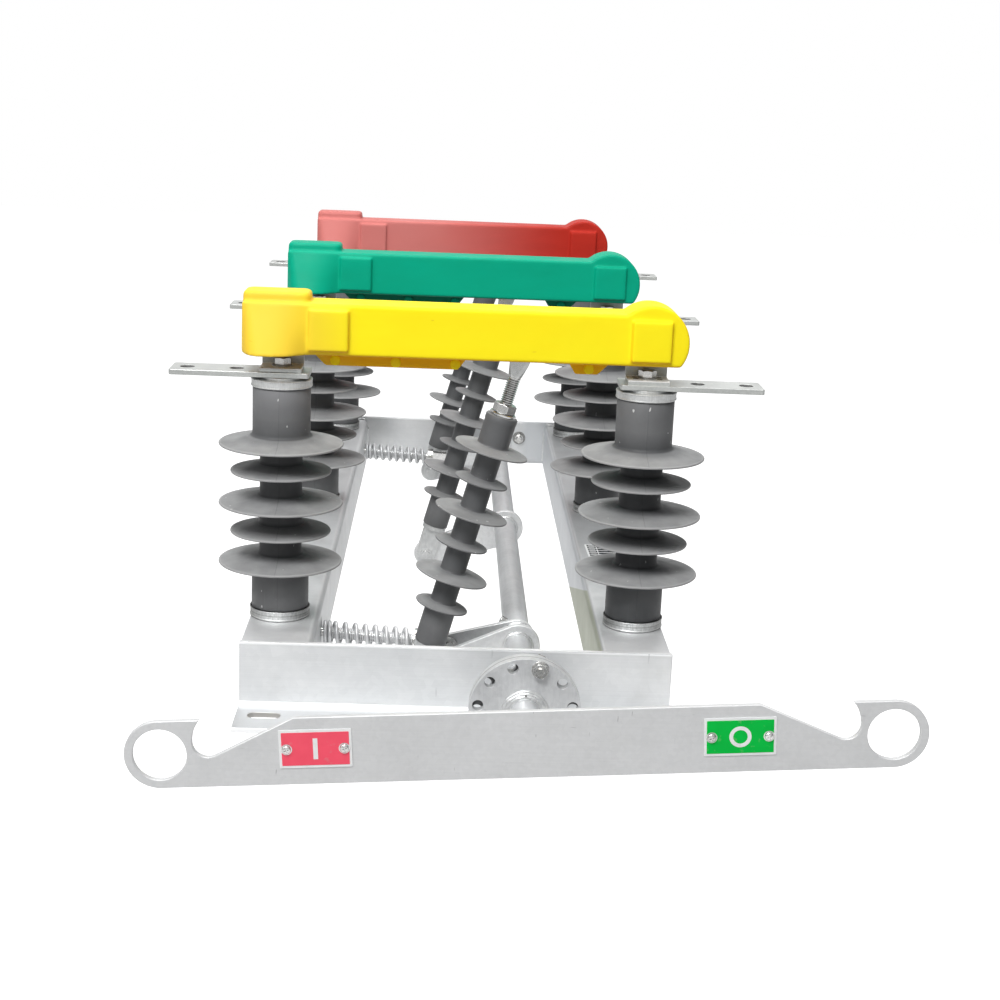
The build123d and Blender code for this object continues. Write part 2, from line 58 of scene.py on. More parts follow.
camera.matrix_world = Matrix.Translation(camera_place) @ turn.to_4x4()
scene.camera = camera
scene.view_settings.view_transform = "Standard"


def soft_box(name, place, target, width, height, power):
    """Rectangular studio lamp that faces a point."""
    lamp = bpy.data.lights.new(name, "AREA")
    lamp.shape, lamp.size, lamp.size_y, lamp.energy = "RECTANGLE", width, height, power
    holder = bpy.data.objects.new(name, lamp)
    scene.collection.objects.link(holder)
    holder.location = place
    holder.rotation_mode = "QUATERNION"
    holder.rotation_quaternion = (Vector(target) - Vector(place)).to_track_quat("-Z", "Y")


soft_box("front_box", (-0.8, -2.1, 2.9), (0, 0.4, 0.2), 1.6, 1.4, 116)
soft_box("top_box", (-0.1, 0.9, 2.9), (0, 0.7, 0.2), 2.0, 2.0, 50)
soft_box("left_box", (-2.4, -0.9, 1.3), (-0.1, 0.4, 0.2), 1.2, 1.2, 8)


def shader_node(owner, kind, **values):
    """Node of a finish or of the room, with its settings or its sockets' values."""
    made = owner.node_tree.nodes.new(kind)
    for key, value in values.items():
        if hasattr(made, key):
            setattr(made, key, value)
        else:
            made.inputs[key.replace("_", " ")].default_value = value
    return made


def wire(owner, start, end):
    owner.node_tree.links.new(start, end)


def feed(owner, value, socket):
    """Give a socket a number, a colour or another socket's value."""
    if isinstance(value, bpy.types.NodeSocket):
        wire(owner, value, socket)
    elif isinstance(value, (int, float)):
        socket.default_value = value
    else:
        socket.default_value = (*value, 1)


def sum_of(owner, operation, *values):
    """Result of one sum on numbers and sockets."""
    node = shader_node(owner, "ShaderNodeMath", operation=operation)
    for value, socket in zip(values, node.inputs):
        feed(owner, value, socket)
    return node.outputs[0]


def spread(owner, value, low, high, to_low=0.0, to_high=1.0, **settings):
    """A socket's values from low to high spread to another range, and held at its ends."""
    ramp = shader_node(owner, "ShaderNodeMapRange", From_Min=low, From_Max=high, To_Min=to_low,
                       To_Max=to_high, **settings)
    wire(owner, value, ramp.inputs["Value"])
    return ramp.outputs["Result"]


def coordinate(owner, axis, kind="Object"):
    """One of the coordinates, or of the normal, as a socket."""
    split = shader_node(owner, "ShaderNodeSeparateXYZ")
    wire(owner, shader_node(owner, "ShaderNodeTexCoord").outputs[kind], split.inputs[0])
    return split.outputs[axis]


def show_white(owner, kind, glossy_share, lit, shown):
    """Light the scene with one shader, and show another to the camera and in part to reflections."""
    path = shader_node(owner, "ShaderNodeLightPath").outputs
    seen = sum_of(owner, "MULTIPLY_ADD", path["Is Glossy Ray"], glossy_share, path["Is Camera Ray"])
    mix = shader_node(owner, "ShaderNodeMixShader")
    for source, socket in zip((seen, lit.outputs[0], shown.outputs[0]), mix.inputs):
        wire(owner, source, socket)
    wire(owner, mix.outputs[0], shader_node(owner, f"ShaderNodeOutput{kind}").inputs["Surface"])


room = bpy.data.worlds.new("room")
scene.world = room
room.use_nodes = True
room.node_tree.nodes.clear()
room_ramp = shader_node(room, "ShaderNodeValToRGB")
room_ramp.color_ramp.elements[0].color = (0.25, 0.25, 0.26, 1)
room_ramp.color_ramp.elements[1].color = (1.3, 1.3, 1.3, 1)
wire(room, spread(room, coordinate(room, "Z", "Generated"), -0.3, 1.0), room_ramp.inputs[0])
room_light = shader_node(room, "ShaderNodeBackground", Strength=0.34)
wire(room, room_ramp.outputs["Color"], room_light.inputs["Color"])
room_white = shader_node(room, "ShaderNodeBackground", Color=(1, 1, 1, 1))
room_side = sum_of(room, "ABSOLUTE", coordinate(room, "X", "Generated"))
show_white(room, "World", spread(room, room_side, 0.45, 0.90, 0.70, 0.12), room_light, room_white)

bpy.ops.object.select_all(action="DESELECT")
bpy.ops.mesh.primitive_plane_add(size=16, location=(0, 0.6, -0.30))
floor = bpy.context.object
floor.name = "floor"
bpy.ops.object.transform_apply(location=True)
paper = bpy.data.materials.new("pale_floor")
paper.use_nodes = True
paper.node_tree.nodes.clear()
paper_face = shader_node(paper, "ShaderNodeBsdfDiffuse", Color=(0.42, 0.42, 0.42, 1))
paper_sum = shader_node(paper, "ShaderNodeAddShader")
wire(paper, paper_face.outputs[0], paper_sum.inputs[0])
wire(paper, shader_node(paper, "ShaderNodeEmission", Strength=0.90).outputs[0], paper_sum.inputs[1])
show_white(paper, "Material", 0.7, paper_face, paper_sum)
floor.data.materials.append(paper)

# ---------------------------------------------------------------- folded frame
# Four members of 5 mm hot-dip galvanised plate, each folded once to an angle and welded
# where the side members meet the end webs. Slots take the fixing bolts and the guide rods' tails.
plate = 0.005
web_bend, side_bend = 0.010, 0.0065
half_width, side_inner = 0.203, 0.136
front_edge, web_back, rear_web, rear_edge = -0.0325, 0.0325, 1.092, 1.157
frame_top, web_top = 0.062, 0.0665
shaft_x, shaft_z = 0.062, 0.036
bush_radius = 0.01753
foot_slot_x, foot_slot_length, foot_slot_width = 0.1765, 0.030, 0.014
foot_slot_ys = (0.0, 1.1245)
spring_ys = {"front": 0.1595, "rear": 0.9995}
guide_slot_z, guide_slot_reach, guide_slot_width = 0.0388, 0.0048, 0.012


def clear_selection():
    if bpy.context.mode != "OBJECT":
        bpy.ops.object.mode_set(mode="OBJECT")
    bpy.ops.object.select_all(action="DESELECT")


def take_hold(piece):
    """Make one piece the only selected and active one."""
    clear_selection()
    piece.select_set(True)
    bpy.context.view_layer.objects.active = piece


def edit(piece, select_all=False):
    """Edit mode on one piece, with its whole mesh selected if asked."""
    take_hold(piece)
    bpy.ops.object.mode_set(mode="EDIT")
    if select_all:
        bpy.ops.mesh.select_all(action="SELECT")


def end_edit():
    bpy.ops.object.mode_set(mode="OBJECT")


def choose(kind, test):
    """In edit mode, select the vertices, edges or faces whose middle passes the test."""
    bpy.ops.mesh.select_mode(type=kind)
    bpy.ops.mesh.select_all(action="DESELECT")
    edited = bmesh.from_edit_mesh(bpy.context.edit_object.data)
    for item in {"VERT": edited.verts, "EDGE": edited.edges, "FACE": edited.faces}[kind]:
        if kind == "VERT":
            middle = item.co
        else:
            middle = sum((v.co for v in item.verts), Vector()) / len(item.verts)
        if test(middle, item):
            item.select_set(True)
    edited.select_flush_mode()
    bmesh.update_edit_mesh(bpy.context.edit_object.data)


def bake_modifier(piece, kind, **settings):
    """Add a modifier with its settings and apply it."""
    take_hold(piece)
    modifier = piece.modifiers.new(kind.lower(), kind)
    for key, value in settings.items():
        setattr(modifier, key, value)
    bpy.ops.object.modifier_apply(modifier=modifier.name)


def smooth_by(piece, degrees):
    """Smooth shading between faces that meet at less than an angle."""
    take_hold(piece)
    bpy.ops.object.shade_smooth_by_angle(angle=math.radians(degrees))


def block(name, low, high):
    """Square block between two corners."""
    clear_selection()
    bpy.ops.mesh.primitive_cube_add(size=1)
    piece = bpy.context.object
    piece.name = name
    piece.location = (Vector(low) + Vector(high)) / 2
    piece.scale = Vector(high) - Vector(low)
    bpy.ops.object.transform_apply(location=True, rotation=True, scale=True)
    return piece


def round_bar(name, start, end, radius, facets=48):
    """Round bar from start to end."""
    clear_selection()
    along = Vector(end) - Vector(start)
    bpy.ops.mesh.primitive_cylinder_add(vertices=facets, radius=radius, depth=along.length)
    piece = bpy.context.object
    piece.name = name
    piece.data.transform(Matrix.Translation((Vector(start) + Vector(end)) / 2)
                         @ along.to_track_quat("Z", "Y").to_matrix().to_4x4())
    return piece


def cut_away(piece, cutter, operation="DIFFERENCE"):
    """Boolean with another solid, which is used up."""
    bake_modifier(piece, "BOOLEAN", object=cutter, operation=operation, solver="EXACT")
    bpy.data.objects.remove(cutter)


def soften(piece, width, segments=2, angle=32):
    """Break the sharp edges and keep the faces between them flat."""
    bake_modifier(piece, "BEVEL", width=width, segments=segments, limit_method="ANGLE",
                  angle_limit=math.radians(angle), miter_outer="MITER_ARC")
    smooth_by(piece, 50)
    bake_modifier(piece, "WEIGHTED_NORMAL", keep_sharp=True, weight=80)


def slot_cutter(start, end, width, axis, reach):
    """Cutter for a long slot: a round bar from start to end, pulled apart along an axis."""
    cutter = round_bar("slot_cutter", start, end, width / 2, 32)
    edit(cutter)
    for side in (-1, 1):
        choose("VERT", lambda middle, item: side * (middle[axis] - start[axis]) > 1e-5)
        pull = Vector()
        pull[axis] = side * reach
        bpy.ops.transform.translate(value=pull)
    end_edit()
    return cutter


def folded_plate(name, low, high, fold_at, turned_up, bend):
    """Flat plate with one edge turned up or down and the fold rounded, its thickness inwards."""
    clear_selection()
    bpy.ops.mesh.primitive_plane_add(size=1)
    piece = bpy.context.object
    piece.name = name
    piece.location = ((low[0] + high[0]) / 2, (low[1] + high[1]) / 2, low[2])
    piece.scale = (high[0] - low[0], high[1] - low[1], 1)
    bpy.ops.object.transform_apply(location=True, rotation=True, scale=True)
    bpy.ops.object.mode_set(mode="EDIT")
    axis, place = fold_at
    choose("EDGE", lambda middle, item: abs(middle[axis] - place) < 1e-5)
    bpy.ops.mesh.extrude_region_move(TRANSFORM_OT_translate={"value": (0, 0, turned_up)})
    choose("EDGE", lambda middle, item: abs(middle[axis] - place) < 1e-5 and abs(middle.z - low[2]) < 1e-5)
    bpy.ops.mesh.bevel(offset=bend, segments=8, affect="EDGES")
    bpy.ops.mesh.select_all(action="SELECT")
    bpy.ops.mesh.normals_make_consistent(inside=False)
    flat = [f for f in bmesh.from_edit_mesh(piece.data).faces if abs(abs(f.normal.z) - 1) < 1e-3][0]
    if flat.normal.z * turned_up < 0:
        bpy.ops.mesh.flip_normals()
    end_edit()
    bake_modifier(piece, "SOLIDIFY", thickness=plate, offset=1.0, use_even_offset=True)
    return piece


front_member = folded_plate("front_member", (-half_width, front_edge, 0), (half_width, web_back, 0),
                            (1, web_back), web_top, web_bend)
rear_member = folded_plate("rear_member", (-half_width, rear_web, 0), (half_width, rear_edge, 0),
                           (1, rear_web), web_top, web_bend)
left_member = folded_plate("left_member", (-half_width, web_back, frame_top),
                           (-side_inner, rear_web, frame_top), (0, -side_inner), -frame_top, side_bend)
right_member = folded_plate("right_member", (side_inner, web_back, frame_top),
                            (half_width, rear_web, frame_top), (0, side_inner), -frame_top, side_bend)
for member, y in zip((front_member, rear_member), foot_slot_ys):
    for x in (-foot_slot_x, foot_slot_x):
        cut_away(member, slot_cutter((x, y, plate / 2 - 0.01), (x, y, plate / 2 + 0.01), foot_slot_width, 0,
                                     (foot_slot_length - foot_slot_width) / 2))
for member, low_y, high_y in ((front_member, 0.02, 0.04), (rear_member, 1.08, 1.10)):
    cut_away(member, round_bar("bush_hole", (shaft_x, low_y, shaft_z), (shaft_x, high_y, shaft_z),
                               bush_radius))
for y in spring_ys.values():
    start, end = (-side_inner - 0.01, y, guide_slot_z), (-side_inner + 0.01, y, guide_slot_z)
    cut_away(left_member, slot_cutter(start, end, guide_slot_width, 2, guide_slot_reach))


def shader_of(finish):
    return finish.node_tree.nodes["Principled BSDF"]


def set_level(finish, **values):
    """Plain values on the shader's own sockets."""
    for key, value in values.items():
        shader_of(finish).inputs[key.replace("_", " ")].default_value = value


def new_finish(name, metallic, roughness, ior=1.5):
    """A new finish, and the coordinates of the object that wears it."""
    finish = bpy.data.materials.new(name)
    finish.use_nodes = True
    set_level(finish, Metallic=metallic, Roughness=roughness, IOR=ior)
    return finish, shader_node(finish, "ShaderNodeTexCoord").outputs["Object"]


def stretched(finish, scale, turn=(0, 0, 0)):
    """Object coordinates stretched along an axis, for streaks and drawn marks."""
    mapping = shader_node(finish, "ShaderNodeMapping", Scale=scale, Rotation=turn)
    wire(finish, shader_node(finish, "ShaderNodeTexCoord").outputs["Object"], mapping.inputs["Vector"])
    return mapping.outputs["Vector"]


def cloud(finish, vector, scale, low, high, to_low=0.0, to_high=1.0, detail=4.0, rough=0.55):
    """Soft noise between two levels, spread to a range."""
    noise = shader_node(finish, "ShaderNodeTexNoise", Scale=scale, Detail=detail, Roughness=rough)
    wire(finish, vector, noise.inputs["Vector"])
    return spread(finish, noise.outputs["Fac"], low, high, to_low, to_high)


def blend_colour(finish, factor, first, second, mode="MIX"):
    """Two colours, or a colour and a socket, mixed by a factor."""
    mix = shader_node(finish, "ShaderNodeMix", data_type="RGBA", blend_type=mode)
    for value, index in ((factor, 0), (first, 6), (second, 7)):
        feed(finish, value, mix.inputs[index])
    return mix.outputs[2]


def lay_over(finish, base, *layers):
    """Lay several (factor, colour) layers over a base colour and give the shader the result."""
    for factor, colour in layers:
        base = blend_colour(finish, factor, base, colour)
    wire(finish, base, shader_of(finish).inputs["Base Color"])


def roughen(finish, spot, scale, low, high, detail=4.0):
    """Roughness that varies softly between two values."""
    gloss = cloud(finish, spot, scale, 0.3, 0.7, low, high, detail)
    wire(finish, gloss, shader_of(finish).inputs["Roughness"])


def add_bump(finish, *heights):
    """Relief from several (height socket, depth in metres) pairs, one over the other."""
    last = None
    for height, depth in heights:
        bump = shader_node(finish, "ShaderNodeBump", Strength=1.0, Distance=depth)
        wire(finish, height, bump.inputs["Height"])
        if last:
            wire(finish, last, bump.inputs["Normal"])
        last = bump.outputs["Normal"]
    wire(finish, last, shader_of(finish).inputs["Normal"])


def zinc_finish(name, dark, light, metallic, rough_low, rough_high, drawn, spangle=160, marks=0.16,
                stain=0.30, edge_highlight=0.0):
    """Zinc on steel: faint spangle, soft clouds, drawn streaks, dull patches and, where asked, a painted
    highlight on the plate's edges.
    """
    finish, spot = new_finish(name, metallic, rough_high)
    crystals = shader_node(finish, "ShaderNodeTexVoronoi", Scale=spangle)
    wire(finish, spot, crystals.inputs["Vector"])
    crystal = shader_node(finish, "ShaderNodeSeparateColor")
    wire(finish, crystals.outputs["Color"], crystal.inputs[0])
    clouds = cloud(finish, spot, 16, 0.32, 0.68)
    streaks = cloud(finish, stretched(finish, drawn), 4, 0.25, 0.75, detail=6, rough=0.7)
    layers = [(0.6 * marks, blend_colour(finish, crystal.outputs[0], (0.3, 0.3, 0.31), (1, 1, 1))),
              (marks, blend_colour(finish, streaks, (0.36, 0.37, 0.38), (0.97, 0.98, 0.98))),
              (cloud(finish, spot, 9, 0.60, 0.78, 0, stain, detail=7, rough=0.65), (0.50, 0.49, 0.45))]
    # painted highlight on the faces that look sideways, the plate's edges
    if edge_highlight:
        level = sum_of(finish, "ABSOLUTE", coordinate(finish, "Y", "Normal"))
        layers.append((spread(finish, level, 0.9, 0.5, 0.0, edge_highlight), (0.95, 0.96, 0.96)))
    lay_over(finish, blend_colour(finish, clouds, dark, light), *layers)
    roughen(finish, spot, 34, rough_low, rough_high)
    pores = cloud(finish, spot, 900, 0.35, 0.65, detail=2)
    add_bump(finish, (streaks, 0.00003), (pores, 0.00002), (clouds, 0.0002))
    return finish


def base_of(finish):
    """The socket that gives the shader its colour so far."""
    return shader_of(finish).inputs["Base Color"].links[0].from_socket


def tint_where(finish, *tints):
    """Tint a finish inside boxes. Each tint is (limits, colour, amount, mode), where the limits are
    (axis or socket, empty end, full end) in metres, all of them together."""
    for limits, colour, amount, *mode in tints:
        factor = amount
        for axis, empty, full in limits:
            place = coordinate(finish, axis) if isinstance(axis, str) else axis
            factor = sum_of(finish, "MULTIPLY", factor, spread(finish, place, empty, full))
        tinted = blend_colour(finish, factor, base_of(finish), colour, *mode)
        wire(finish, tinted, shader_of(finish).inputs["Base Color"])


def nicks(finish, scale, turn, low, high, colour, amount):
    """Short scratches: the peaks of a stretched noise, in one direction."""
    marks = cloud(finish, stretched(finish, scale, turn), 1.0, low, high, 0, amount, detail=1)
    lay_over(finish, base_of(finish), (marks, colour))


# The top edge of each web and the front edge of the front foot carry a painted highlight, the slots' walls
# are painted in shade, and the right member's inner face has a khaki patch with a sharp edge near its front
# end.
# The side members' tops are painted lighter at the front and darker towards the rear, and their folds, the
# right member's inner face and the front foot's top are painted in shade.
galvanised = zinc_finish("galvanised_plate", (0.72, 0.735, 0.745), (0.80, 0.81, 0.815), 0.60, 0.42, 0.56,
                         (2, 60, 240), marks=0.08, stain=0.20)
upward = coordinate(galvanised, "Z", "Normal")
sideways = sum_of(galvanised, "ABSOLUTE", coordinate(galvanised, "X"))
side_top = [(upward, 0.80, 0.97), ("Z", 0.055, 0.060)]
side_fold = [(upward, 0.03, 0.25), (upward, 0.99, 0.85), ("Z", 0.050, 0.054)]
slot_wall = [(sideways, 0.1608, 0.1612), (sideways, 0.1922, 0.1918), ("Z", 0.0051, 0.0048)]
khaki_patch_edge = sum_of(galvanised, "MULTIPLY_ADD", coordinate(galvanised, "Z"), 3.48, coordinate(galvanised, "Y"))
inner_face = [("X", 0.1395, 0.1380), ("X", 0.1, 0.11), ("Y", 0.0325, 0.0330)]
tint_where(galvanised,
           # painted highlight along the webs' top edge and the front foot's front edge
           ([("Z", 0.0640, 0.0652)], (0.98, 0.985, 0.99), 0.95),
           ([("Y", -0.0316, -0.0322)], (0.97, 0.975, 0.98), 0.8),
           # painted light on the side members' tops near the front, painted shade towards the rear
           (side_top + [("Y", 0.30, 0.05)], (0.96, 0.965, 0.97), 0.55),
           (side_top + [("Y", 0.10, 0.40), ("X", 0.0, 0.1)], (0.40, 0.41, 0.42), 0.60),
           (side_top + [("Y", 0.10, 0.40), ("X", 0.0, -0.1)], (0.60, 0.61, 0.62), 0.45),
           # painted shade on the side members' folds
           (side_fold + [("X", -0.01, 0.01)], (0.30, 0.31, 0.32), 0.75),
           (side_fold + [("X", 0.01, -0.01)], (0.42, 0.43, 0.44), 0.35),
           # painted shade on the front foot's top
           ([(upward, 0.80, 0.97), ("Z", 0.020, 0.015), ("Y", 0.022, 0.012)], (0.50, 0.51, 0.52), 0.75),
           # painted shade on the walls of the foot slots
           (slot_wall + [("Y", -0.0074, -0.0071), ("Y", 0.0074, 0.0071)], (0.34, 0.325, 0.30), 0.80),
           (slot_wall + [("Y", 1.1171, 1.1174), ("Y", 1.1319, 1.1316)], (0.34, 0.325, 0.30), 0.80),
           # painted shade on the right member's inner face
           (inner_face, (0.62, 0.64, 0.66), 0.85),
           # khaki patch with a sharp edge on the right member's inner face near its front end
           (inner_face + [(khaki_patch_edge, 0.4545, 0.4505)], (0.39, 0.41, 0.31), 0.85))
nicks(galvanised, (240, 240, 30), (0.3, 0.5, 0.0), 0.76, 0.82, (0.52, 0.53, 0.54), 0.5)


def dress(piece, finish, body, slot, *nodes):
    """Give a finished piece its material and its moving body, and hide the nodes it stands for. The slot is
    not used.
    """
    piece.data.materials.clear()
    piece.data.materials.append(finish)
    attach(piece, body)
    if nodes:
        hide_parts(*nodes)
    return piece


for member, node in ((front_member, "front_cross_member"), (rear_member, "rear_cross_member"),
                     (left_member, "left_side_member"), (right_member, "right_side_member")):
    soften(member, 0.0007)
    dress(member, galvanised, "frame", "galvanised_steel", node)

# ---------------------------------------------------------------- shaft bushes
# Flanged plain bearings of zinc-plated steel pressed through the end webs, with the
# shaft turning in them. Each is the CAD solid with its edges broken.
zinc_bright = zinc_finish("zinc_bright", (0.60, 0.61, 0.62), (0.80, 0.81, 0.82), 0.80, 0.24, 0.42,
                          (200, 8, 60), 420)


def refine(name, node, edge):
    """Copy of a CAD solid with its triangles merged to flat faces and its edges broken."""
    mesh = cad[node].data.copy()
    piece = bpy.data.objects.new(name, mesh)
    scene.collection.objects.link(piece)
    take_hold(piece)
    if mesh.has_custom_normals:
        bpy.ops.mesh.customdata_custom_splitnormals_clear()
    edit(piece, True)
    bpy.ops.mesh.remove_doubles(threshold=1e-6)
    bpy.ops.mesh.dissolve_limited(angle_limit=math.radians(0.8))
    end_edit()
    soften(piece, edge, 2, 40)
    return piece


for end in ("front", "rear"):
    dress(refine(f"{end}_bush", f"{end}_bearing", 0.0005), zinc_bright, "frame", "zinc_plated_steel",
          f"{end}_bearing")

# ---------------------------------------------------------------- posts
# Six post insulators of grey silicone rubber moulded over a glass-fibre rod: three large
# sheds and two small ones, thin at the rim and hollow on top, with a faint mould seam.
post_x = 0.175
post_ys = (0.1295, 0.5795, 1.0295)
post_low, post_high = 0.072, 0.2915
end_radius, core_radius = 0.0278, 0.0205
large_shed, small_shed = 0.060, 0.0488
post_rims = (0.1163, 0.1469, 0.1752, 0.2067, 0.2339)


def turned(name, profile, facets=64, smooth=60):
    """Solid of revolution about Z, raised ring by ring from a disc: profile is (radius, height) pairs."""
    clear_selection()
    bpy.ops.mesh.primitive_circle_add(vertices=facets, radius=profile[0][0], fill_type="NGON",
                                      location=(0, 0, profile[0][1]))
    piece = bpy.context.object
    piece.name = name
    bpy.ops.object.transform_apply(location=True)
    bpy.ops.object.mode_set(mode="EDIT")
    bpy.ops.mesh.select_mode(type="FACE")
    bpy.ops.mesh.select_all(action="SELECT")
    for (radius, height), (next_radius, next_height) in zip(profile, profile[1:]):
        bpy.ops.mesh.extrude_region_move(TRANSFORM_OT_translate={"value": (0, 0, next_height - height)})
        bpy.ops.transform.resize(value=(next_radius / radius, next_radius / radius, 1),
                                 center_override=(0, 0, next_height))
    bpy.ops.mesh.select_all(action="SELECT")
    bpy.ops.mesh.normals_make_consistent(inside=False)
    end_edit()
    bpy.ops.object.shade_smooth_by_angle(angle=math.radians(smooth))
    return piece


def shed_profile(below, above, radius, rim, rise, root, edge, fillet):
    """Outline of one shed from the core under it to the core over it."""
    lip = edge / 2
    inner, top = below + 0.0016, rim + root
    points = [(below, top - 0.0014), (below + 0.0005, top - 0.0004), (inner, top - 0.0002)]
    for k in range(1, 6):
        t = k / 6
        points.append((inner + t * (radius - lip - inner), rim + (root - 0.0002) * (1 - t)))
    for k in range(7):
        a = math.radians(-90 + 180 * k / 6)
        points.append((radius - lip + lip * math.cos(a), rim + lip + lip * math.sin(a)))
    foot = above + fillet
    steep = (rise - edge - 0.9 * fillet) / (rise - edge)
    for k in range(1, 9):
        t = k / 8
        height = rim + edge + (rise - edge) * steep * (0.58 * t + 0.42 * t ** 2.2)
        points.append((radius - lip + t * (foot - radius + lip), height))
    start = points[-1][1]
    for k in range(1, 6):
        a = math.radians(18 * k)
        points.append((foot - fillet * math.sin(a), start + (rim + rise - start) * (1 - math.cos(a))))
    return points


profile = [(end_radius - 0.0006, post_low), (end_radius, post_low + 0.0006), (end_radius, post_low + 0.03)]
for k, rim in enumerate(post_rims):
    below = end_radius if k == 0 else core_radius
    above = end_radius if k == 4 else core_radius
    shed = small_shed if k % 2 else large_shed
    profile += shed_profile(below, above, shed, rim, 0.0125, 0.004, 0.0022, 0.0046)
profile += [(end_radius, post_high - 0.02), (end_radius, post_high - 0.0006),
            (end_radius - 0.0006, post_high)]
post = turned("post_pattern", profile)


def axis_distance(finish, across):
    """Distance from the axis of the nearest phase's piece, given the distance from its plane."""
    pitch_y = post_ys[1] - post_ys[0]
    start = post_ys[0] - pitch_y / 2
    along = sum_of(finish, "SUBTRACT", coordinate(finish, "Y"), start - 2 * pitch_y)
    along = sum_of(finish, "SUBTRACT", sum_of(finish, "MODULO", along, pitch_y), pitch_y / 2)
    squares = [sum_of(finish, "POWER", sum_of(finish, "ABSOLUTE", side), 2.0) for side in (across, along)]
    return sum_of(finish, "SQRT", sum_of(finish, "ADD", *squares))


def off_row(finish):
    """Distance in X from the middle of the nearest row of posts."""
    return sum_of(finish, "SUBTRACT", sum_of(finish, "ABSOLUTE", coordinate(finish, "X")), post_x)


def silicone_finish(name, seam, dust_and_light_from, dust_and_light_to):
    """Grey silicone rubber, matt and slightly greasy, with what faces up painted lighter as dust and as light
    from above, rubs and a seam.
    """
    finish, spot = new_finish(name, 0.0, 0.55, 1.42)
    set_level(finish, Specular_IOR_Level=0.35)
    mottle = cloud(finish, spot, 26, 0.3, 0.7)
    facing_up = spread(finish, coordinate(finish, "Z", "Normal"), dust_and_light_from, dust_and_light_to)
    dust_and_top_light = cloud(finish, spot, 42, 0.34, 0.72, 0.55, 0.95, detail=6)
    rubbed = cloud(finish, stretched(finish, (30, 30, 220)), 3, 0.66, 0.80, 0, 0.35, detail=5, rough=0.7)
    grains = stretched(finish, (1.3, 1.3, 0.7), (0.5, 0.3, 0))
    specks = cloud(finish, grains, 150, 0.760, 0.785, 0, 0.85, detail=1)
    ribs = cloud(finish, stretched(finish, (170, 170, 5)), 1.6, 0.62, 0.82, 0, 0.30, detail=5, rough=0.6)
    # what faces up is painted lighter, partly dust and partly painted light from above
    layers = [(sum_of(finish, "MULTIPLY", facing_up, dust_and_top_light), (0.37, 0.373, 0.375)),
              (rubbed, (0.36, 0.36, 0.36)), (specks, (0.62, 0.62, 0.61)), (ribs, (0.30, 0.31, 0.31))]
    heights = [(cloud(finish, spot, 1400, 0.3, 0.7, detail=2), 0.00002),
               (cloud(finish, spot, 45, 0.3, 0.7, detail=2), 0.00025)]
    if seam:
        line = spread(finish, sum_of(finish, "ABSOLUTE", off_row(finish)), 0.0, 0.0006, 1.0, 0.0)
        layers.append((sum_of(finish, "MULTIPLY", line, 0.30), (0.075, 0.076, 0.080)))
        heights.append((line, 0.00012))
    lay_over(finish, blend_colour(finish, mottle, (0.128, 0.130, 0.133), (0.158, 0.160, 0.163)), *layers)
    roughen(finish, spot, 60, 0.44, 0.62)
    add_bump(finish, *heights)
    return finish


# The cores are painted in the sheds' shade, most of all on the right, and so are the right posts' lower
# parts;
# the left posts' heads are painted lighter, and the sheds' rims carry a painted highlight.
post_rubber = silicone_finish("post_silicone", True, 0.78, 0.97)
reach = axis_distance(post_rubber, off_row(post_rubber))
near_core, to_right = (reach, 0.040, 0.022), ("X", -0.05, 0.10)
tint_where(post_rubber,
           # painted shade on the cores between the sheds
           ([(reach, 0.046, 0.0215), ("Z", 0.095, 0.118), ("Z", 0.262, 0.246)], (0.50, 0.51, 0.52), 0.85,
            "MULTIPLY"),
           # painted highlight on the large sheds' rims
           ([(reach, 0.0574, 0.0590)], (0.44, 0.44, 0.44), 0.60))
# painted highlight on the small sheds' rims
for low_z, high_z in ((0.1460, 0.1500), (0.2058, 0.2098)):
    small_rim = [(reach, 0.0466, 0.0480), ("Z", low_z, low_z + 0.0005), ("Z", high_z, high_z - 0.0005)]
    tint_where(post_rubber, (small_rim, (0.44, 0.44, 0.44), 0.60))
tint_where(post_rubber,
           # painted shade on the right posts' lower parts and cores, more on the middle and rear ones
           ([("Z", 0.110, 0.080), to_right], (0.52, 0.53, 0.54), 0.85, "MULTIPLY"),
           ([near_core, to_right, ("Z", 0.262, 0.240)], (0.55, 0.56, 0.57), 0.80, "MULTIPLY"),
           ([near_core, to_right, ("Y", 0.35, 0.50), ("Z", 0.262, 0.240)], (0.55, 0.55, 0.56), 0.75,
            "MULTIPLY"),
           # painted light on the left posts' heads
           ([("Z", 0.26, 0.29), ("X", 0.10, -0.05)], (0.25, 0.25, 0.26), 0.45))
chips = cloud(post_rubber, stretched(post_rubber, (1.4, 1.4, 0.8), (0.2, 0.9, 0.0)), 130, 0.0, 1.0, detail=1)
tint_where(post_rubber, ([(chips, 0.725, 0.745), ("Z", 0.245, 0.250)], (0.60, 0.60, 0.59), 0.8))


def placed_copy(pattern, name, placing):
    """Copy of a pattern piece, with its own mesh put in place."""
    twin = bpy.data.objects.new(name, pattern.data.copy())
    scene.collection.objects.link(twin)
    twin.data.transform(placing)
    return twin


sides = (("contact", -post_x), ("hinge", post_x))
all_posts = [(kind, x, k + 1, y) for kind, x in sides for k, y in enumerate(post_ys)]
for kind, x, number, y in all_posts:
    twin = placed_copy(post, f"{kind}_insulator_{number}", Matrix.Translation((x, y, 0)))
    dress(twin, post_rubber, "frame", "silicone_rubber", f"{kind}_post_{number}")
bpy.data.objects.remove(post)

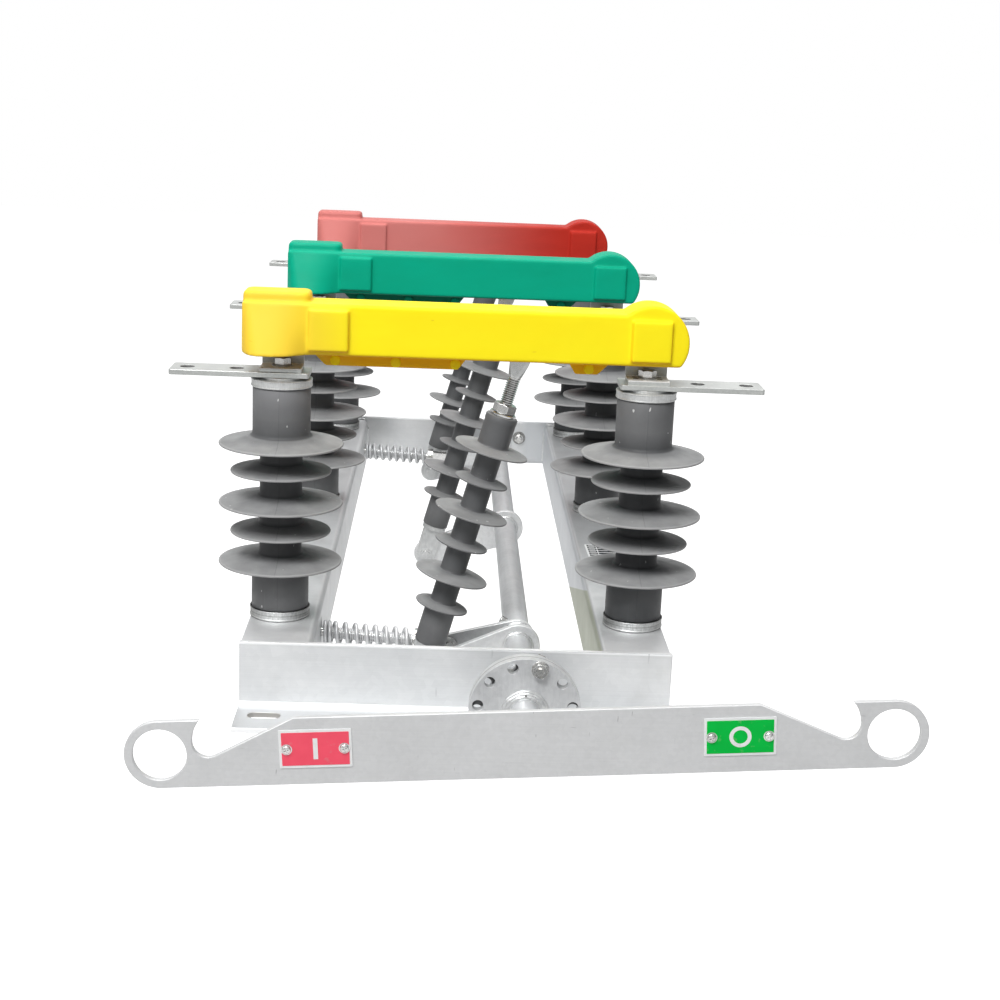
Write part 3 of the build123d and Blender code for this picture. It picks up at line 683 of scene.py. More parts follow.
# ---------------------------------------------------------------- post end fittings
# Zinc-plated rings crimped round the posts' feet and heads. The head ring carries a
# raised seat on which the terminal is clamped.
ring_radius = 0.0294
foot_steps = ((0.0008, 0.062), (0, 0.0626), (0, 0.0636), (0.0004, 0.0641), (0.0004, 0.0703),
              (0, 0.0707), (0, 0.0714), (0.0003, 0.0718), (0.0007, 0.0717), (0.0009, 0.0696),
              (0.0017, 0.0696))
head_steps = ((0.0017, 0.2936), (0.0009, 0.2936), (0.0007, 0.2916), (0.0003, 0.2915), (0, 0.2919),
              (0, 0.2927), (0.0004, 0.2931), (0.0004, 0.2976), (0, 0.2980), (0, 0.2986),
              (0.0006, 0.2991), (0.0072, 0.2991), (0.0079, 0.2996), (0.0079, 0.3009), (0.0084, 0.3014))
ring_zinc = zinc_finish("ring_zinc", (0.12, 0.127, 0.120), (0.30, 0.31, 0.288), 0.75, 0.40, 0.52,
                        (200, 200, 30), 520, marks=0.55, stain=0.45)
ring_side = sum_of(ring_zinc, "ABSOLUTE", off_row(ring_zinc))
tint_where(ring_zinc,
           # painted shadow under the foot rings
           ([("Z", 0.0632, 0.0622)], (0.10, 0.10, 0.10), 0.8),
           ([("Z", 0.0668, 0.0672), ("Z", 0.0682, 0.0678)], (0.16, 0.16, 0.15), 0.5),
           # head rings painted lighter, as they get more light than the feet
           ([("Z", 0.110, 0.200)], (0.60, 0.61, 0.60), 0.40),
           # painted shade at the foot rings' left and right sides
           ([(ring_side, 0.012, 0.027), ("Z", 0.20, 0.10)], (0.38, 0.38, 0.37), 0.85, "MULTIPLY"),
           # painted highlight on the foot rings' lower lip
           ([("Z", 0.0632, 0.0635), ("Z", 0.0643, 0.0640)], (0.80, 0.81, 0.80), 0.45))
for word, steps, node in (("foot_ring", foot_steps, "post_base_flanges"),
                          ("head_ring", head_steps, "post_top_caps")):
    pattern = turned(word, [(ring_radius - inset, height) for inset, height in steps], smooth=35)
    for kind, x, number, y in all_posts:
        twin = placed_copy(pattern, f"{kind}_{word}_{number}", Matrix.Translation((x, y, 0)))
        dress(twin, ring_zinc, "frame", "zinc_plated_steel", node)
    bpy.data.objects.remove(pattern)

# ---------------------------------------------------------------- terminals and brackets
# Flat tinned copper terminals with two punched holes each, and the bent strips that stand on
# them: the contact jaw on the left and the hinge bracket on the right.
terminal_low, terminal_high, terminal_hole = 0.3018, 0.30635, 0.0070
bracket_low, bracket_high, bracket_hole = 0.3068, 0.31058, 0.0027
bracket_holes = ((-0.0115, -0.0046), (0.0115, -0.0046), (-0.0115, 0.0046), (0.0115, 0.0046))
tinned = zinc_finish("tinned_copper", (0.32, 0.335, 0.32), (0.50, 0.515, 0.49), 0.85, 0.34, 0.52,
                     (8, 160, 160), 700)
# Dark linings in holes and pits stand for the shade inside them.
hole_shade = zinc_finish("painted_hole_shade", (0.020, 0.019, 0.018), (0.055, 0.050, 0.045), 0.20, 0.60, 0.75,
                         (90, 90, 90), 500)
# Painted highlight along the terminals' top edge, painted light on the brackets' feet, which lie in shade
# under the covers, and painted shade along the terminals' lower edge.
tint_where(tinned,
           ([("Z", 0.3057, 0.3063), ("Z", 0.3068, 0.3066)], (0.66, 0.675, 0.66), 0.7),
           ([("Z", 0.3096, 0.3103), ("Z", 0.3112, 0.3108)], (0.97, 0.975, 0.97), 0.8),
           ([("Z", 0.3021, 0.3017)], (0.20, 0.21, 0.20), 0.6))
# The brackets' feet, painted light, are made less metallic there.
strip_foot = spread(tinned, coordinate(tinned, "Z"), 0.3085, 0.3100, 0.85, 0.25)
wire(tinned, strip_foot, shader_of(tinned).inputs["Metallic"])
for name, node in (("contact_terminal_bars", "contact_terminals"), ("hinge_terminal_bars", "hinge_terminals"),
                   ("contact_jaw_strips", "contact_jaws"), ("hinge_bracket_strips", "hinge_brackets")):
    dress(refine(name, node, 0.0005), tinned, "frame", "tinned_copper", node)
# dark sleeves in the terminals' holes, painted shade
for kind, hole_xs in (("contact", (-0.265, -0.218)), ("hinge", (0.224, 0.271))):
    for k, y in enumerate(post_ys):
        for n, x in enumerate(hole_xs):
            sleeve = round_bar(f"{kind}_terminal_hole_{k + 1}_{n + 1}", (x, y, terminal_low),
                               (x, y, terminal_high), terminal_hole - 0.0001, 32)
            cut_away(sleeve, round_bar("bore", (x, y, terminal_low - 0.01), (x, y, terminal_high + 0.01),
                                       terminal_hole - 0.0005, 32))
            smooth_by(sleeve, 50)
            dress(sleeve, hole_shade, "frame", "tinned_copper")
# dark plugs in the brackets' holes, painted shade
for k, y in enumerate(post_ys):
    for n, (out_x, out_y) in enumerate(bracket_holes):
        pit = round_bar(f"hinge_bracket_hole_{k + 1}_{n + 1}", (post_x + out_x, y + out_y, bracket_low),
                        (post_x + out_x, y + out_y, bracket_high), bracket_hole, 20)
        dress(pit, hole_shade, "frame", "tinned_copper")

# ---------------------------------------------------------------- covers
# Snap-on insulating covers of glossy moulded plastic, one colour for each phase: a box
# with a round head at the pivot, a flared hood with a hump at the jaw, and two bosses a side.
cover_low, cover_high = 0.325, 0.3737
cover_half, inner_half, inner_high = 0.0235, 0.021, 0.3712
pivot_z, head_z, head_radius = 0.349, 0.347, 0.036
hood_left, hood_right, hood_flare = -0.211, -0.143, 0.021
wall = 0.0025
hump_right, hump_half, hump_high = -0.1478, 0.019, 0.3831
boss_xs, boss_half_x, boss_half_y = (-0.1294, post_x - 0.0005), 0.0187, 0.0285
seam_half, seam_low, seam_high = 0.0025, 0.3122, 0.330


def merge(name, parts):
    """Join several parts into one piece."""
    take_hold(parts[0])
    for part in parts[1:]:
        part.select_set(True)
    bpy.ops.object.join()
    parts[0].name = name
    return parts[0]


def round_corners(piece, axis, corner, segments):
    """Round the edges of a block that run along an axis."""
    edit(piece)
    choose("EDGE", lambda middle, side: abs((side.verts[0].co - side.verts[1].co).normalized()[axis]) > 0.99)
    bpy.ops.mesh.bevel(offset=corner, segments=segments, affect="EDGES")
    end_edit()


def hood_outline(inset, bulge):
    """Outline of the hood seen from above, along one side to the bar and back down the other."""
    left, right, half = hood_left + inset, hood_right - inset, cover_half - inset
    corner = 0.008
    knee = corner + 0.45 * bulge
    points = []
    for k in range(9):
        a = math.radians(90 * k / 8)
        points.append((left + knee - knee * math.cos(a), half - corner + (bulge + corner) * math.sin(a)))
    start = left + knee
    for k in range(1, 25):
        t = k / 24
        points.append((start + t * (right - start), half + bulge * 0.5 * (1 + math.cos(math.pi * t ** 1.86))))
    return points + [(x, -depth) for x, depth in reversed(points)]


def hood_solid(name, inset, low, high):
    """Solid hood, lofted from its flared mouth to its flush roof in a few level sections."""
    clear_selection()
    count = len(hood_outline(inset, hood_flare))
    bpy.ops.mesh.primitive_circle_add(vertices=count, radius=0.05, fill_type="NGON")
    piece = bpy.context.object
    piece.name = name
    bpy.ops.object.mode_set(mode="EDIT")
    bpy.ops.mesh.select_mode(type="FACE")
    bpy.ops.mesh.select_all(action="SELECT")
    sections = 8
    for k in range(sections):
        bpy.ops.mesh.extrude_region_move(TRANSFORM_OT_translate={"value": (0, 0, 0.1)})
    end_edit()
    levels = sorted({round(v.co.z, 4) for v in piece.data.vertices})
    for v in piece.data.vertices:
        k = levels.index(round(v.co.z, 4)) / sections
        turn_index = round(math.atan2(v.co.x, v.co.y) / (2 * math.pi) * count) % count
        x, depth = hood_outline(inset, hood_flare * (1 - k))[turn_index]
        v.co = (x, depth, low + k * (high - low))
    edit(piece, True)
    bpy.ops.mesh.normals_make_consistent(inside=False)
    end_edit()
    return piece


def seam_ridge(left, right, left_run, right_run):
    """Flange under the bar where the two halves of the cover are riveted, its ends sloping inwards."""
    piece = block("cover_seam", (left, -seam_half, seam_low), (right, seam_half, seam_high))
    edit(piece)
    for side, run in ((-1, left_run), (1, right_run)):
        choose("VERT", lambda middle, item: middle.z < 0.32 and side * (middle.x - (left + right) / 2) > 0)
        bpy.ops.transform.translate(value=(-side * run, 0, 0))
    end_edit()
    return piece


cover = block("cover_shell", (hood_left, -cover_half, cover_low), (post_x, cover_half, cover_high))
head = round_bar("cover_head", (post_x, -cover_half, head_z), (post_x, cover_half, head_z), head_radius, 96)
cut_away(head, block("below", (0.1, -0.1, 0.25), (0.3, 0.1, cover_low)))
hood = hood_solid("cover_hood", 0, cover_low, cover_high)
hump = block("cover_hump", (hood_left, -hump_half, pivot_z), (hump_right, hump_half, hump_high))
round_corners(hump, 2, 0.008, 8)
bake_modifier(hump, "BEVEL", width=0.0040, segments=3, limit_method="ANGLE", angle_limit=math.radians(40))
bosses = [block("cover_boss", (x - boss_half_x, -boss_half_y, pivot_z - 0.0196),
                (x + boss_half_x, boss_half_y, pivot_z + 0.0192)) for x in boss_xs]
ridges = [seam_ridge(-0.152, 0.006, 0.018, 0.013), seam_ridge(0.094, 0.145, 0.011, 0.018)]
merge("cover_shell", [cover, head, hood, hump, *bosses, *ridges])
bake_modifier(cover, "REMESH", mode="VOXEL", voxel_size=0.0014)
bake_modifier(cover, "SMOOTH", factor=0.5, iterations=9)
inside = block("inside", (hood_left + wall, -inner_half, 0.3275), (post_x, inner_half, inner_high))
for cutter in (round_bar("inside_head", (post_x, -inner_half, head_z), (post_x, inner_half, head_z),
                         head_radius - wall, 64),
               hood_solid("inside_hood", wall, 0.3235, inner_high),
               block("rod_gap", (0.014, -0.0209, 0.318), (0.090, 0.0209, 0.332)),
               block("head_gap", (0.139, -0.0209, 0.300), (0.217, 0.0209, 0.355))):
    cut_away(inside, cutter, "UNION")
cut_away(cover, inside)
smooth_by(cover, 38)


def moulded_finish(name, colour, shade, worn, fade=0.0):
    """Glossy moulded plastic: slight flow marks, scuffs, a fine orange peel and sun-bleaching."""
    finish, spot = new_finish(name, 0.0, 0.50)
    set_level(finish, Specular_IOR_Level=0.12)
    flow = cloud(finish, stretched(finish, (4, 14, 14)), 3, 0.3, 0.7, detail=3)
    scuff = cloud(finish, stretched(finish, (40, 160, 190)), 2, 0.68, 0.84, 0, 0.22, detail=7, rough=0.7)
    layers = [(scuff, worn)]
    if fade:
        bleached = spread(finish, coordinate(finish, "X"), 0.16, -0.10, 0.0, fade,
                          interpolation_type="SMOOTHSTEP")
        patchy = cloud(finish, stretched(finish, (6, 10, 10)), 1.3, 0.25, 0.75, 0.85, 1.0, detail=3)
        layers.append((sum_of(finish, "MULTIPLY", bleached, patchy), worn))
    lay_over(finish, blend_colour(finish, flow, shade, colour), *layers)
    roughen(finish, spot, 30, 0.42, 0.56, 5)
    add_bump(finish, (cloud(finish, spot, 420, 0.3, 0.7, detail=2), 0.000015),
             (cloud(finish, spot, 22, 0.3, 0.7, detail=2), 0.00035))
    return finish


cover_finishes = {
    "yellow": moulded_finish("yellow_plastic", (1.0, 0.845, 0.013), (1.0, 0.81, 0.011), (0.98, 0.87, 0.22)),
    "green": moulded_finish("green_plastic", (0.0, 0.385, 0.235), (0.0, 0.35, 0.21), (0.10, 0.46, 0.34)),
    "red": moulded_finish("red_plastic", (0.52, 0.030, 0.018), (0.44, 0.024, 0.014), (0.66, 0.24, 0.22),
                          0.85)}
in_shade = {"yellow": (0.90, 0.43, 0.006), "green": (0.0, 0.13, 0.075), "red": (0.20, 0.010, 0.006)}
for colour, finish in cover_finishes.items():
    downward = coordinate(finish, "Z", "Normal")
    tint_where(finish, ([("Z", 0.3252, 0.3240)], in_shade[colour], 0.85),
               ([(downward, -0.15, -0.75), ("Z", 0.345, 0.335)], in_shade[colour], 0.75))
yellow = cover_finishes["yellow"]
# The yellow cover's faces that look left or right are painted orange, as yellow in shade.
cover_ends = sum_of(yellow, "ABSOLUTE", coordinate(yellow, "X", "Normal"))
tint_where(yellow, ([(cover_ends, 0.35, 0.85)], (1.0, 0.56, 0.008), 0.6),
           ([("X", -0.10, -0.17)], (0.86, 0.575, 0.055), 0.85))
nicks(yellow, (60, 60, 260), (0.0, 0.6, 0.0), 0.775, 0.82, (0.70, 0.42, 0.02), 0.7)
rivet_finishes = {
    "yellow": moulded_finish("yellow_rivet", (1.0, 0.78, 0.008), (1.0, 0.74, 0.006), (0.98, 0.86, 0.22)),
    "green": moulded_finish("green_rivet", (0.0, 0.33, 0.20), (0.0, 0.30, 0.18), (0.12, 0.48, 0.36)),
    "red": moulded_finish("red_rivet", (0.46, 0.030, 0.018), (0.40, 0.024, 0.014), (0.66, 0.24, 0.22))}
rivet = turned("rivet_pattern", [(0.0050, 0.0), (0.0050, 0.0012), (0.0047, 0.0018), (0.0038, 0.0022),
                                 (0.0020, 0.0024), (0.0006, 0.0025)], 24)
rivet_xs, rivet_z, rivet_out = (-0.1244, -0.0667, -0.0100, 0.1181), 0.3179, 0.0023
facing_front = Matrix.Rotation(math.radians(90), 4, "X")
facing_back = Matrix.Rotation(math.radians(-90), 4, "X")
facings = (("front", facing_front, -1), ("rear", facing_back, 1))
for k, (colour, y) in enumerate(zip(cover_finishes, post_ys)):
    shell = placed_copy(cover, f"cover_{colour}_shell", Matrix.Translation((0, y, 0)))
    dress(shell, cover_finishes[colour], f"blade_{k + 1}", f"cover_{colour}", f"cover_{colour}")
    for n, x in enumerate(rivet_xs):
        for word, facing, side in facings:
            stud = placed_copy(rivet, f"cover_{colour}_rivet_{word}_{n + 1}",
                               Matrix.Translation((x, y + side * rivet_out, rivet_z)) @ facing)
            dress(stud, rivet_finishes[colour], f"blade_{k + 1}", f"cover_{colour}")
bpy.data.objects.remove(cover)
bpy.data.objects.remove(rivet)

# ---------------------------------------------------------------- blades
# Twin hard-drawn copper strips with lug plates and cross pins, inside each cover, dulled
# brown by the air.
copper = zinc_finish("copper_strip", (0.55, 0.27, 0.16), (0.78, 0.42, 0.27), 0.95, 0.26, 0.44,
                     (8, 200, 200), 900)
for k in range(3):
    cad[f"blade_{k + 1}"].data.materials.clear()
    cad[f"blade_{k + 1}"].data.materials.append(copper)

# ---------------------------------------------------------------- terminal bolts
# M10 hexagon bolts with plain washers, bright zinc, that clamp each bracket and terminal
# on the post's head, and the longer ones that hold the post's foot from under the frame.
head_seat, foot_seat = 0.3105, 0.057
bolt_zinc = zinc_finish("bolt_zinc", (0.34, 0.33, 0.30), (0.84, 0.83, 0.80), 0.95, 0.16, 0.30,
                        (160, 160, 160), 420, marks=0.4)
# The terminal bolts' tops are painted dark brown, a painted reflection of the covers' shaded undersides, and
# the bolts under the covers are painted darker as in shade.
tint_where(bolt_zinc,
           ([(coordinate(bolt_zinc, "Z", "Normal"), 0.8, 0.95), ("Z", 0.300, 0.305)],
            (0.15, 0.12, 0.09), 0.7),
           ([("Z", 0.300, 0.305)], (0.42, 0.41, 0.39), 0.45))
washer_zinc = zinc_finish("washer_zinc", (0.16, 0.16, 0.15), (0.34, 0.335, 0.32), 0.80, 0.34, 0.50,
                          (160, 160, 160), 900)


def hexagon(name, across, height, chamfered_below=True):
    """Hexagon head or nut on Z from 0, its corners taken off by a turned chamfer."""
    clear_selection()
    bpy.ops.mesh.primitive_cylinder_add(vertices=6, radius=across / math.sqrt(3), depth=height,
                                        location=(0, 0, height / 2))
    piece = bpy.context.object
    piece.name = name
    bpy.ops.object.transform_apply(location=True)
    top = across / 2 * 0.97
    corner = across / math.sqrt(3) * 1.01
    step = (corner - top) * 0.55
    below = [(top, 0.0), (corner, step)] if chamfered_below else [(corner, 0.0)]
    cut_away(piece, turned("chamfer", below + [(corner, height - step), (top, height)], 48), "INTERSECT")
    return piece


def washer(name, radius, height):
    """Plain washer on Z from 0, with its edges slightly rounded; its bolt fills the hole."""
    return turned(name, [(radius - 0.0003, 0), (radius, 0.0003), (radius, height - 0.0003),
                         (radius - 0.0003, height)], 48, 40)


def hexagon_bolt(name, across, height, washer_radius, washer_height):
    """Bolt head with its washer, standing on Z = 0."""
    top = washer_height + height
    head = hexagon("head", across, height, False)
    head.data.transform(Matrix.Translation((0, 0, washer_height)))
    crown = turned("crown", [(across * 0.44, top - 0.0002), (across * 0.42, top + 0.0002),
                             (across * 0.30, top + 0.0003)], 32)
    soften(head, 0.0003)
    return merge(name, [head, crown, washer("washer", washer_radius, washer_height)])


terminal_bolt = hexagon_bolt("terminal_bolt_pattern", 0.0152, 0.0064, 0.0076, 0.0018)
seat_washer = washer("seat_washer_pattern", 0.0092, 0.0016)
foot_bolt = hexagon_bolt("foot_bolt_pattern", 0.017, 0.0070, 0.0105, 0.0020)
for kind, x, number, y in all_posts:
    spun = Matrix.Rotation(math.radians(14 + 23 * (number - 1) + (9 if kind == "hinge" else 0)), 4, "Z")
    on_head, under_foot = Matrix.Translation((x, y, head_seat)), Matrix.Translation((x, y, foot_seat))
    for pattern, word, placing, finish in (
            (terminal_bolt, "terminal_bolt", on_head @ spun, bolt_zinc),
            (seat_washer, "terminal_washer", on_head, washer_zinc),
            (foot_bolt, "foot_bolt", under_foot @ spun @ Matrix.Rotation(math.pi, 4, "X"), bolt_zinc)):
        dress(placed_copy(pattern, f"{kind}_{word}_{number}", placing), finish, "frame", "zinc_plated_steel")
for pattern in (terminal_bolt, seat_washer, foot_bolt):
    bpy.data.objects.remove(pattern)

# ---------------------------------------------------------------- pull rods
# Ribbed silicone rods that lift the blades: a galvanised fork on the crank below, and above
# a lock nut on a threaded stud that is forged flat into the eye between the blade's lugs.
rod_pin = Vector((-0.036, 0, 0.0))
rod_tilt = math.atan2(0.091, 0.335)
rod_low, rod_high = 0.038, 0.279
rod_end, rod_core = 0.0155, 0.0126
large_rib, small_rib, rib_pitch = 0.0365, 0.0265, 0.033
thread_low, thread_pitch = rod_high + 0.011, 0.00205
eye_at, eye_half, neck_below = 0.34714, 0.0048, 0.0302


def along_rod(y):
    """Place of a pull rod's lower pin, with Z along the rod."""
    return Matrix.Translation((rod_pin.x, y, rod_pin.z)) @ Matrix.Rotation(rod_tilt, 4, "Y")


def in_rod_plane(finish, x_share, z_share):
    """The distance in X from the rods' lower pins and the height, added up in two shares."""
    out = sum_of(finish, "SUBTRACT", coordinate(finish, "X"), rod_pin.x)
    up = sum_of(finish, "MULTIPLY", coordinate(finish, "Z"), z_share)
    return sum_of(finish, "MULTIPLY_ADD", out, x_share, up)


def hull_of(name, parts):
    """One piece stretched tight over several parts, its flat faces merged."""
    piece = merge(name, parts)
    edit(piece, True)
    bpy.ops.mesh.convex_hull()
    bpy.ops.mesh.dissolve_limited(angle_limit=math.radians(1.0))
    end_edit()
    return piece


profile = [(rod_end - 0.0012, rod_low), (rod_end, rod_low + 0.001), (rod_end, rod_low + 0.02)]
for k in range(6):
    below = rod_end if k == 0 else rod_core
    above = rod_end if k == 5 else rod_core
    profile += shed_profile(below, above, large_rib if k % 2 else small_rib, rod_low + 0.040 + rib_pitch * k,
                            0.0068, 0.002, 0.0017, 0.0022)
profile += [(rod_end, rod_high - 0.0068), (rod_end + 0.0003, rod_high - 0.0058),
            (rod_end + 0.0003, rod_high - 0.0014), (rod_end - 0.0003, rod_high - 0.0004),
            (rod_end - 0.0016, rod_high)]
rod_pattern = turned("rod_pattern", profile, 48)
rod_rubber = silicone_finish("rod_silicone", False, 0.66, 0.92)
reach = axis_distance(rod_rubber, in_rod_plane(rod_rubber, math.cos(rod_tilt), -math.sin(rod_tilt)))
# The rods' cores are painted in shade and the large ribs' rims carry a painted highlight.
tint_where(rod_rubber, ([(reach, 0.0215, 0.0128), ("Z", 0.06, 0.09)], (0.55, 0.56, 0.57), 0.85, "MULTIPLY"),
           ([(reach, 0.0345, 0.0358)], (0.34, 0.34, 0.34), 0.35))
set_level(rod_rubber, Specular_IOR_Level=0.55)

thread = [(0.0052, rod_high)]
height = thread_low
while height < eye_at - neck_below:
    thread += [(0.0064, height), (0.0064, height + 0.0005), (0.0042, height + 0.0010),
               (0.0042, height + 0.0015)]
    height += thread_pitch
thread.append((0.0058, eye_at - 0.029))
stud = turned("stud_pattern", thread, 28, 30)
collar = turned("collar", [(0.0122, rod_high), (0.0130, rod_high + 0.0006), (0.0130, rod_high + 0.0022),
                           (0.0122, rod_high + 0.0030), (0.0100, rod_high + 0.0031)], 48, 35)
lock_nut = hexagon("lock_nut", 0.020, 0.009)
lock_nut.data.transform(Matrix.Translation((0, 0, rod_high + 0.0030))
                        @ Matrix.Rotation(math.radians(12), 4, "Z"))
soften(lock_nut, 0.0004)
eye = hull_of("rod_eye", [
    round_bar("rod_eye", (0, -eye_half, eye_at), (0, eye_half, eye_at), 0.0105, 40),
    round_bar("shoulder", (0, -eye_half, eye_at - 0.012), (0, eye_half, eye_at - 0.012), 0.0095, 32),
    round_bar("neck", (0, 0, eye_at - neck_below), (0, 0, eye_at - 0.0285), 0.0060, 28)])
cut_away(eye, round_bar("pin_hole", (0, -0.02, eye_at), (0, 0.02, eye_at), 0.0070, 32))
soften(eye, 0.0008, 2, 30)
rod_top = merge("rod_top_pattern", [eye, stud, collar, lock_nut])
cast_zinc = zinc_finish("cast_zinc", (0.36, 0.37, 0.37), (0.60, 0.61, 0.61), 0.60, 0.36, 0.54,
                        (70, 70, 20), 260, marks=0.22, edge_highlight=0.3)
stud_zinc = zinc_finish("stud_zinc", (0.28, 0.27, 0.25), (0.74, 0.74, 0.72), 0.92, 0.18, 0.32,
                        (120, 120, 120), 300, marks=0.35)
# The thread's grooves are painted in shade, the forged eye is duller than the stud, and its rim is painted in
# shade.
up_rod = in_rod_plane(stud_zinc, math.sin(rod_tilt), math.cos(rod_tilt))
groove = sum_of(stud_zinc, "MODULO", sum_of(stud_zinc, "SUBTRACT", up_rod, thread_low), thread_pitch)
eye_rim = sum_of(stud_zinc, "ABSOLUTE", coordinate(stud_zinc, "Y", "Normal"))
on_eye = (up_rod, 0.3170, 0.3210)
tint_where(stud_zinc,
           ([(groove, 0.0009, 0.0011), (groove, 0.0020, 0.0018), (up_rod, 0.2920, 0.2925),
             (up_rod, 0.3185, 0.3180)], (0.06, 0.056, 0.050), 0.50),
           ([on_eye], (0.36, 0.37, 0.37), 0.7),
           ([on_eye, (eye_rim, 0.85, 0.5)], (0.10, 0.10, 0.10), 0.6),
           ([(up_rod, 0.2815, 0.2820), (up_rod, 0.2910, 0.2905)], (0.30, 0.30, 0.29), 0.35))
pin_head = turned("pin_head_pattern", [(0.0072, 0.0), (0.0072, 0.0010), (0.0054, 0.0011), (0.0054, 0.0026),
                                       (0.0048, 0.0032), (0.0020, 0.0033)], 36, 35)
for number, y in enumerate(post_ys, 1):
    rod = f"pull_rod_{number}"
    dress(placed_copy(rod_pattern, f"pull_rod_insulator_{number}", along_rod(y)), rod_rubber, rod,
          "silicone_rubber", rod)
    for word, facing, side in facings:
        spot = Matrix.Translation((rod_pin.x, y + side * 0.0090, rod_pin.z)) @ facing
        dress(placed_copy(pin_head, f"pull_rod_pin_{word}_{number}", spot), bolt_zinc, rod,
              "zinc_plated_steel")
    dress(placed_copy(rod_top, f"pull_rod_eye_{number}", along_rod(y)), stud_zinc, rod, "zinc_plated_steel",
          f"rod_eye_{number}")
    dress(refine(f"pull_rod_fork_{number}", f"rod_fork_{number}", 0.0006), cast_zinc, rod,
          "zinc_plated_steel", f"rod_fork_{number}")
for pattern in (rod_pattern, rod_top, pin_head):
    bpy.data.objects.remove(pattern)

# ---------------------------------------------------------------- shaft, cranks and arms
# Galvanised tube that turns in the two bushes, with the three cranks and the two spring
# arms welded round it. The beads are left as laid and galvanised over.
shaft_zinc = zinc_finish("shaft_zinc", (0.54, 0.55, 0.56), (0.66, 0.67, 0.68), 0.50, 0.38, 0.55,
                         (90, 4, 90), 240, marks=0.10)
crank_zinc = zinc_finish("crank_zinc", (0.55, 0.56, 0.57), (0.76, 0.77, 0.77), 0.55, 0.36, 0.56,
                         (70, 70, 70), 300, edge_highlight=0.5)
weld_zinc = zinc_finish("weld_zinc", (0.56, 0.57, 0.57), (0.86, 0.87, 0.87), 0.75, 0.22, 0.40,
                        (120, 120, 120), 500)
beads = random.Random(11)
shaft_bead = 0.0141
arm_pin, anchor = Vector((-0.006, 0, 0.026)), Vector((-0.136, 0, 0.034))
arm_thickness, hub_radius, tip_radius = 0.006, 0.0172, 0.010


def round_wire(name, kind, places, thickness, facets):
    """Curve with a round section through its places, each with a share of the thickness."""
    line = bpy.data.curves.new(name, "CURVE")
    line.dimensions, line.use_fill_caps = "3D", True
    line.bevel_depth, line.bevel_resolution = thickness, facets
    spline = line.splines.new(kind)
    spline.points.add(len(places) - 1)
    for point, (place, share) in zip(spline.points, places):
        point.co = (*place, 1)
        point.radius = share
    return line, spline


def wire_mesh(name, line):
    """Smooth mesh of a curve."""
    piece = bpy.data.objects.new(name, line)
    scene.collection.objects.link(piece)
    take_hold(piece)
    bpy.ops.object.convert(target="MESH")
    bpy.ops.object.shade_smooth()
    return bpy.context.object


def weld(name, points, radius, closed, body, slot):
    """Weld bead laid along points, its ripples a little uneven."""
    places = []
    for k, place in enumerate(points):
        wander = Vector((beads.uniform(-1, 1), beads.uniform(-1, 1), beads.uniform(-1, 1))) * radius * 0.16
        ripple = 1.0 if k % 2 else 0.82
        places.append((Vector(place) + wander, radius * ripple * beads.uniform(0.88, 1.12)))
    line, spline = round_wire(name, "POLY", places, 1.0, 2)
    spline.use_cyclic_u = closed
    dress(wire_mesh(name, line), weld_zinc, body, slot)


def weld_round(name, y, radius, count, bead, slot):
    """Closed bead round the shaft's axis."""
    angles = [2 * math.pi * k / count for k in range(count)]
    ring = [(shaft_x + radius * math.cos(a), y, shaft_z + radius * math.sin(a)) for a in angles]
    weld(name, ring, bead, True, "shaft", slot)


def flat_arm(y):
    """Flat arm from the shaft to the guide rod's pin, both ends round and straight between them."""
    front, back = y - arm_thickness / 2, y + arm_thickness / 2
    arm = hull_of("spring_arm", [
        round_bar("hub", (shaft_x, front, shaft_z), (shaft_x, back, shaft_z), hub_radius, 64),
        round_bar("end", (arm_pin.x, front, arm_pin.z), (arm_pin.x, back, arm_pin.z), tip_radius, 40)])
    for (x, z), hole, facets in (((shaft_x, shaft_z), 0.01345, 48), ((arm_pin.x, arm_pin.z), 0.0034, 32)):
        cut_away(arm, round_bar("hole", (x, front - 0.01, z), (x, back + 0.01, z), hole, facets))
    soften(arm, 0.0008, 2, 30)
    return arm


dress(refine("shaft_body", "shaft_tube", 0.0004), shaft_zinc, "shaft", "zinc_plated_steel", "shaft_tube")
for number, y in enumerate(post_ys, 1):
    dress(refine(f"crank_plate_{number}", f"crank_{number}", 0.0009), crank_zinc, "shaft",
          "zinc_plated_steel", f"crank_{number}")
    for word, side in (("front", -1), ("rear", 1)):
        weld_round(f"crank_weld_{word}_{number}", y + side * 0.0045, shaft_bead, 40, 0.0019,
                   "zinc_plated_steel")
arms = merge("spring_arm_plates", [flat_arm(y) for y in spring_ys.values()])
dress(arms, crank_zinc, "shaft", "zinc_plated_steel", "spring_arms")
set_screw = hexagon_bolt("set_screw", 0.008, 0.0050, 0.0048, 0.0008)
set_screw.data.transform(Matrix.Translation((shaft_x, 0.180, shaft_z))
                         @ Matrix.Rotation(math.radians(-58), 4, "Y") @ Matrix.Translation((0, 0, 0.01335)))
dress(set_screw, bolt_zinc, "shaft", "zinc_plated_steel")
for word, y in spring_ys.items():
    for letter, side in (("a", -1), ("b", 1)):
        weld_round(f"arm_weld_{word}_{letter}", y + side * 0.0034, shaft_bead, 40, 0.0018,
                   "zinc_plated_steel")

# ---------------------------------------------------------------- springs
# Nested compression springs of zinc-plated wire on guide rods, which snap the shaft over. The
# guide's fork sits on the arm's pin and its tail runs in the slot of the left member.
spring_steel = zinc_finish("spring_steel", (0.62, 0.63, 0.64), (0.74, 0.75, 0.76), 0.60, 0.40, 0.52,
                           (60, 60, 60), 500)
spring_start, spring_end = 0.0376, 0.1280


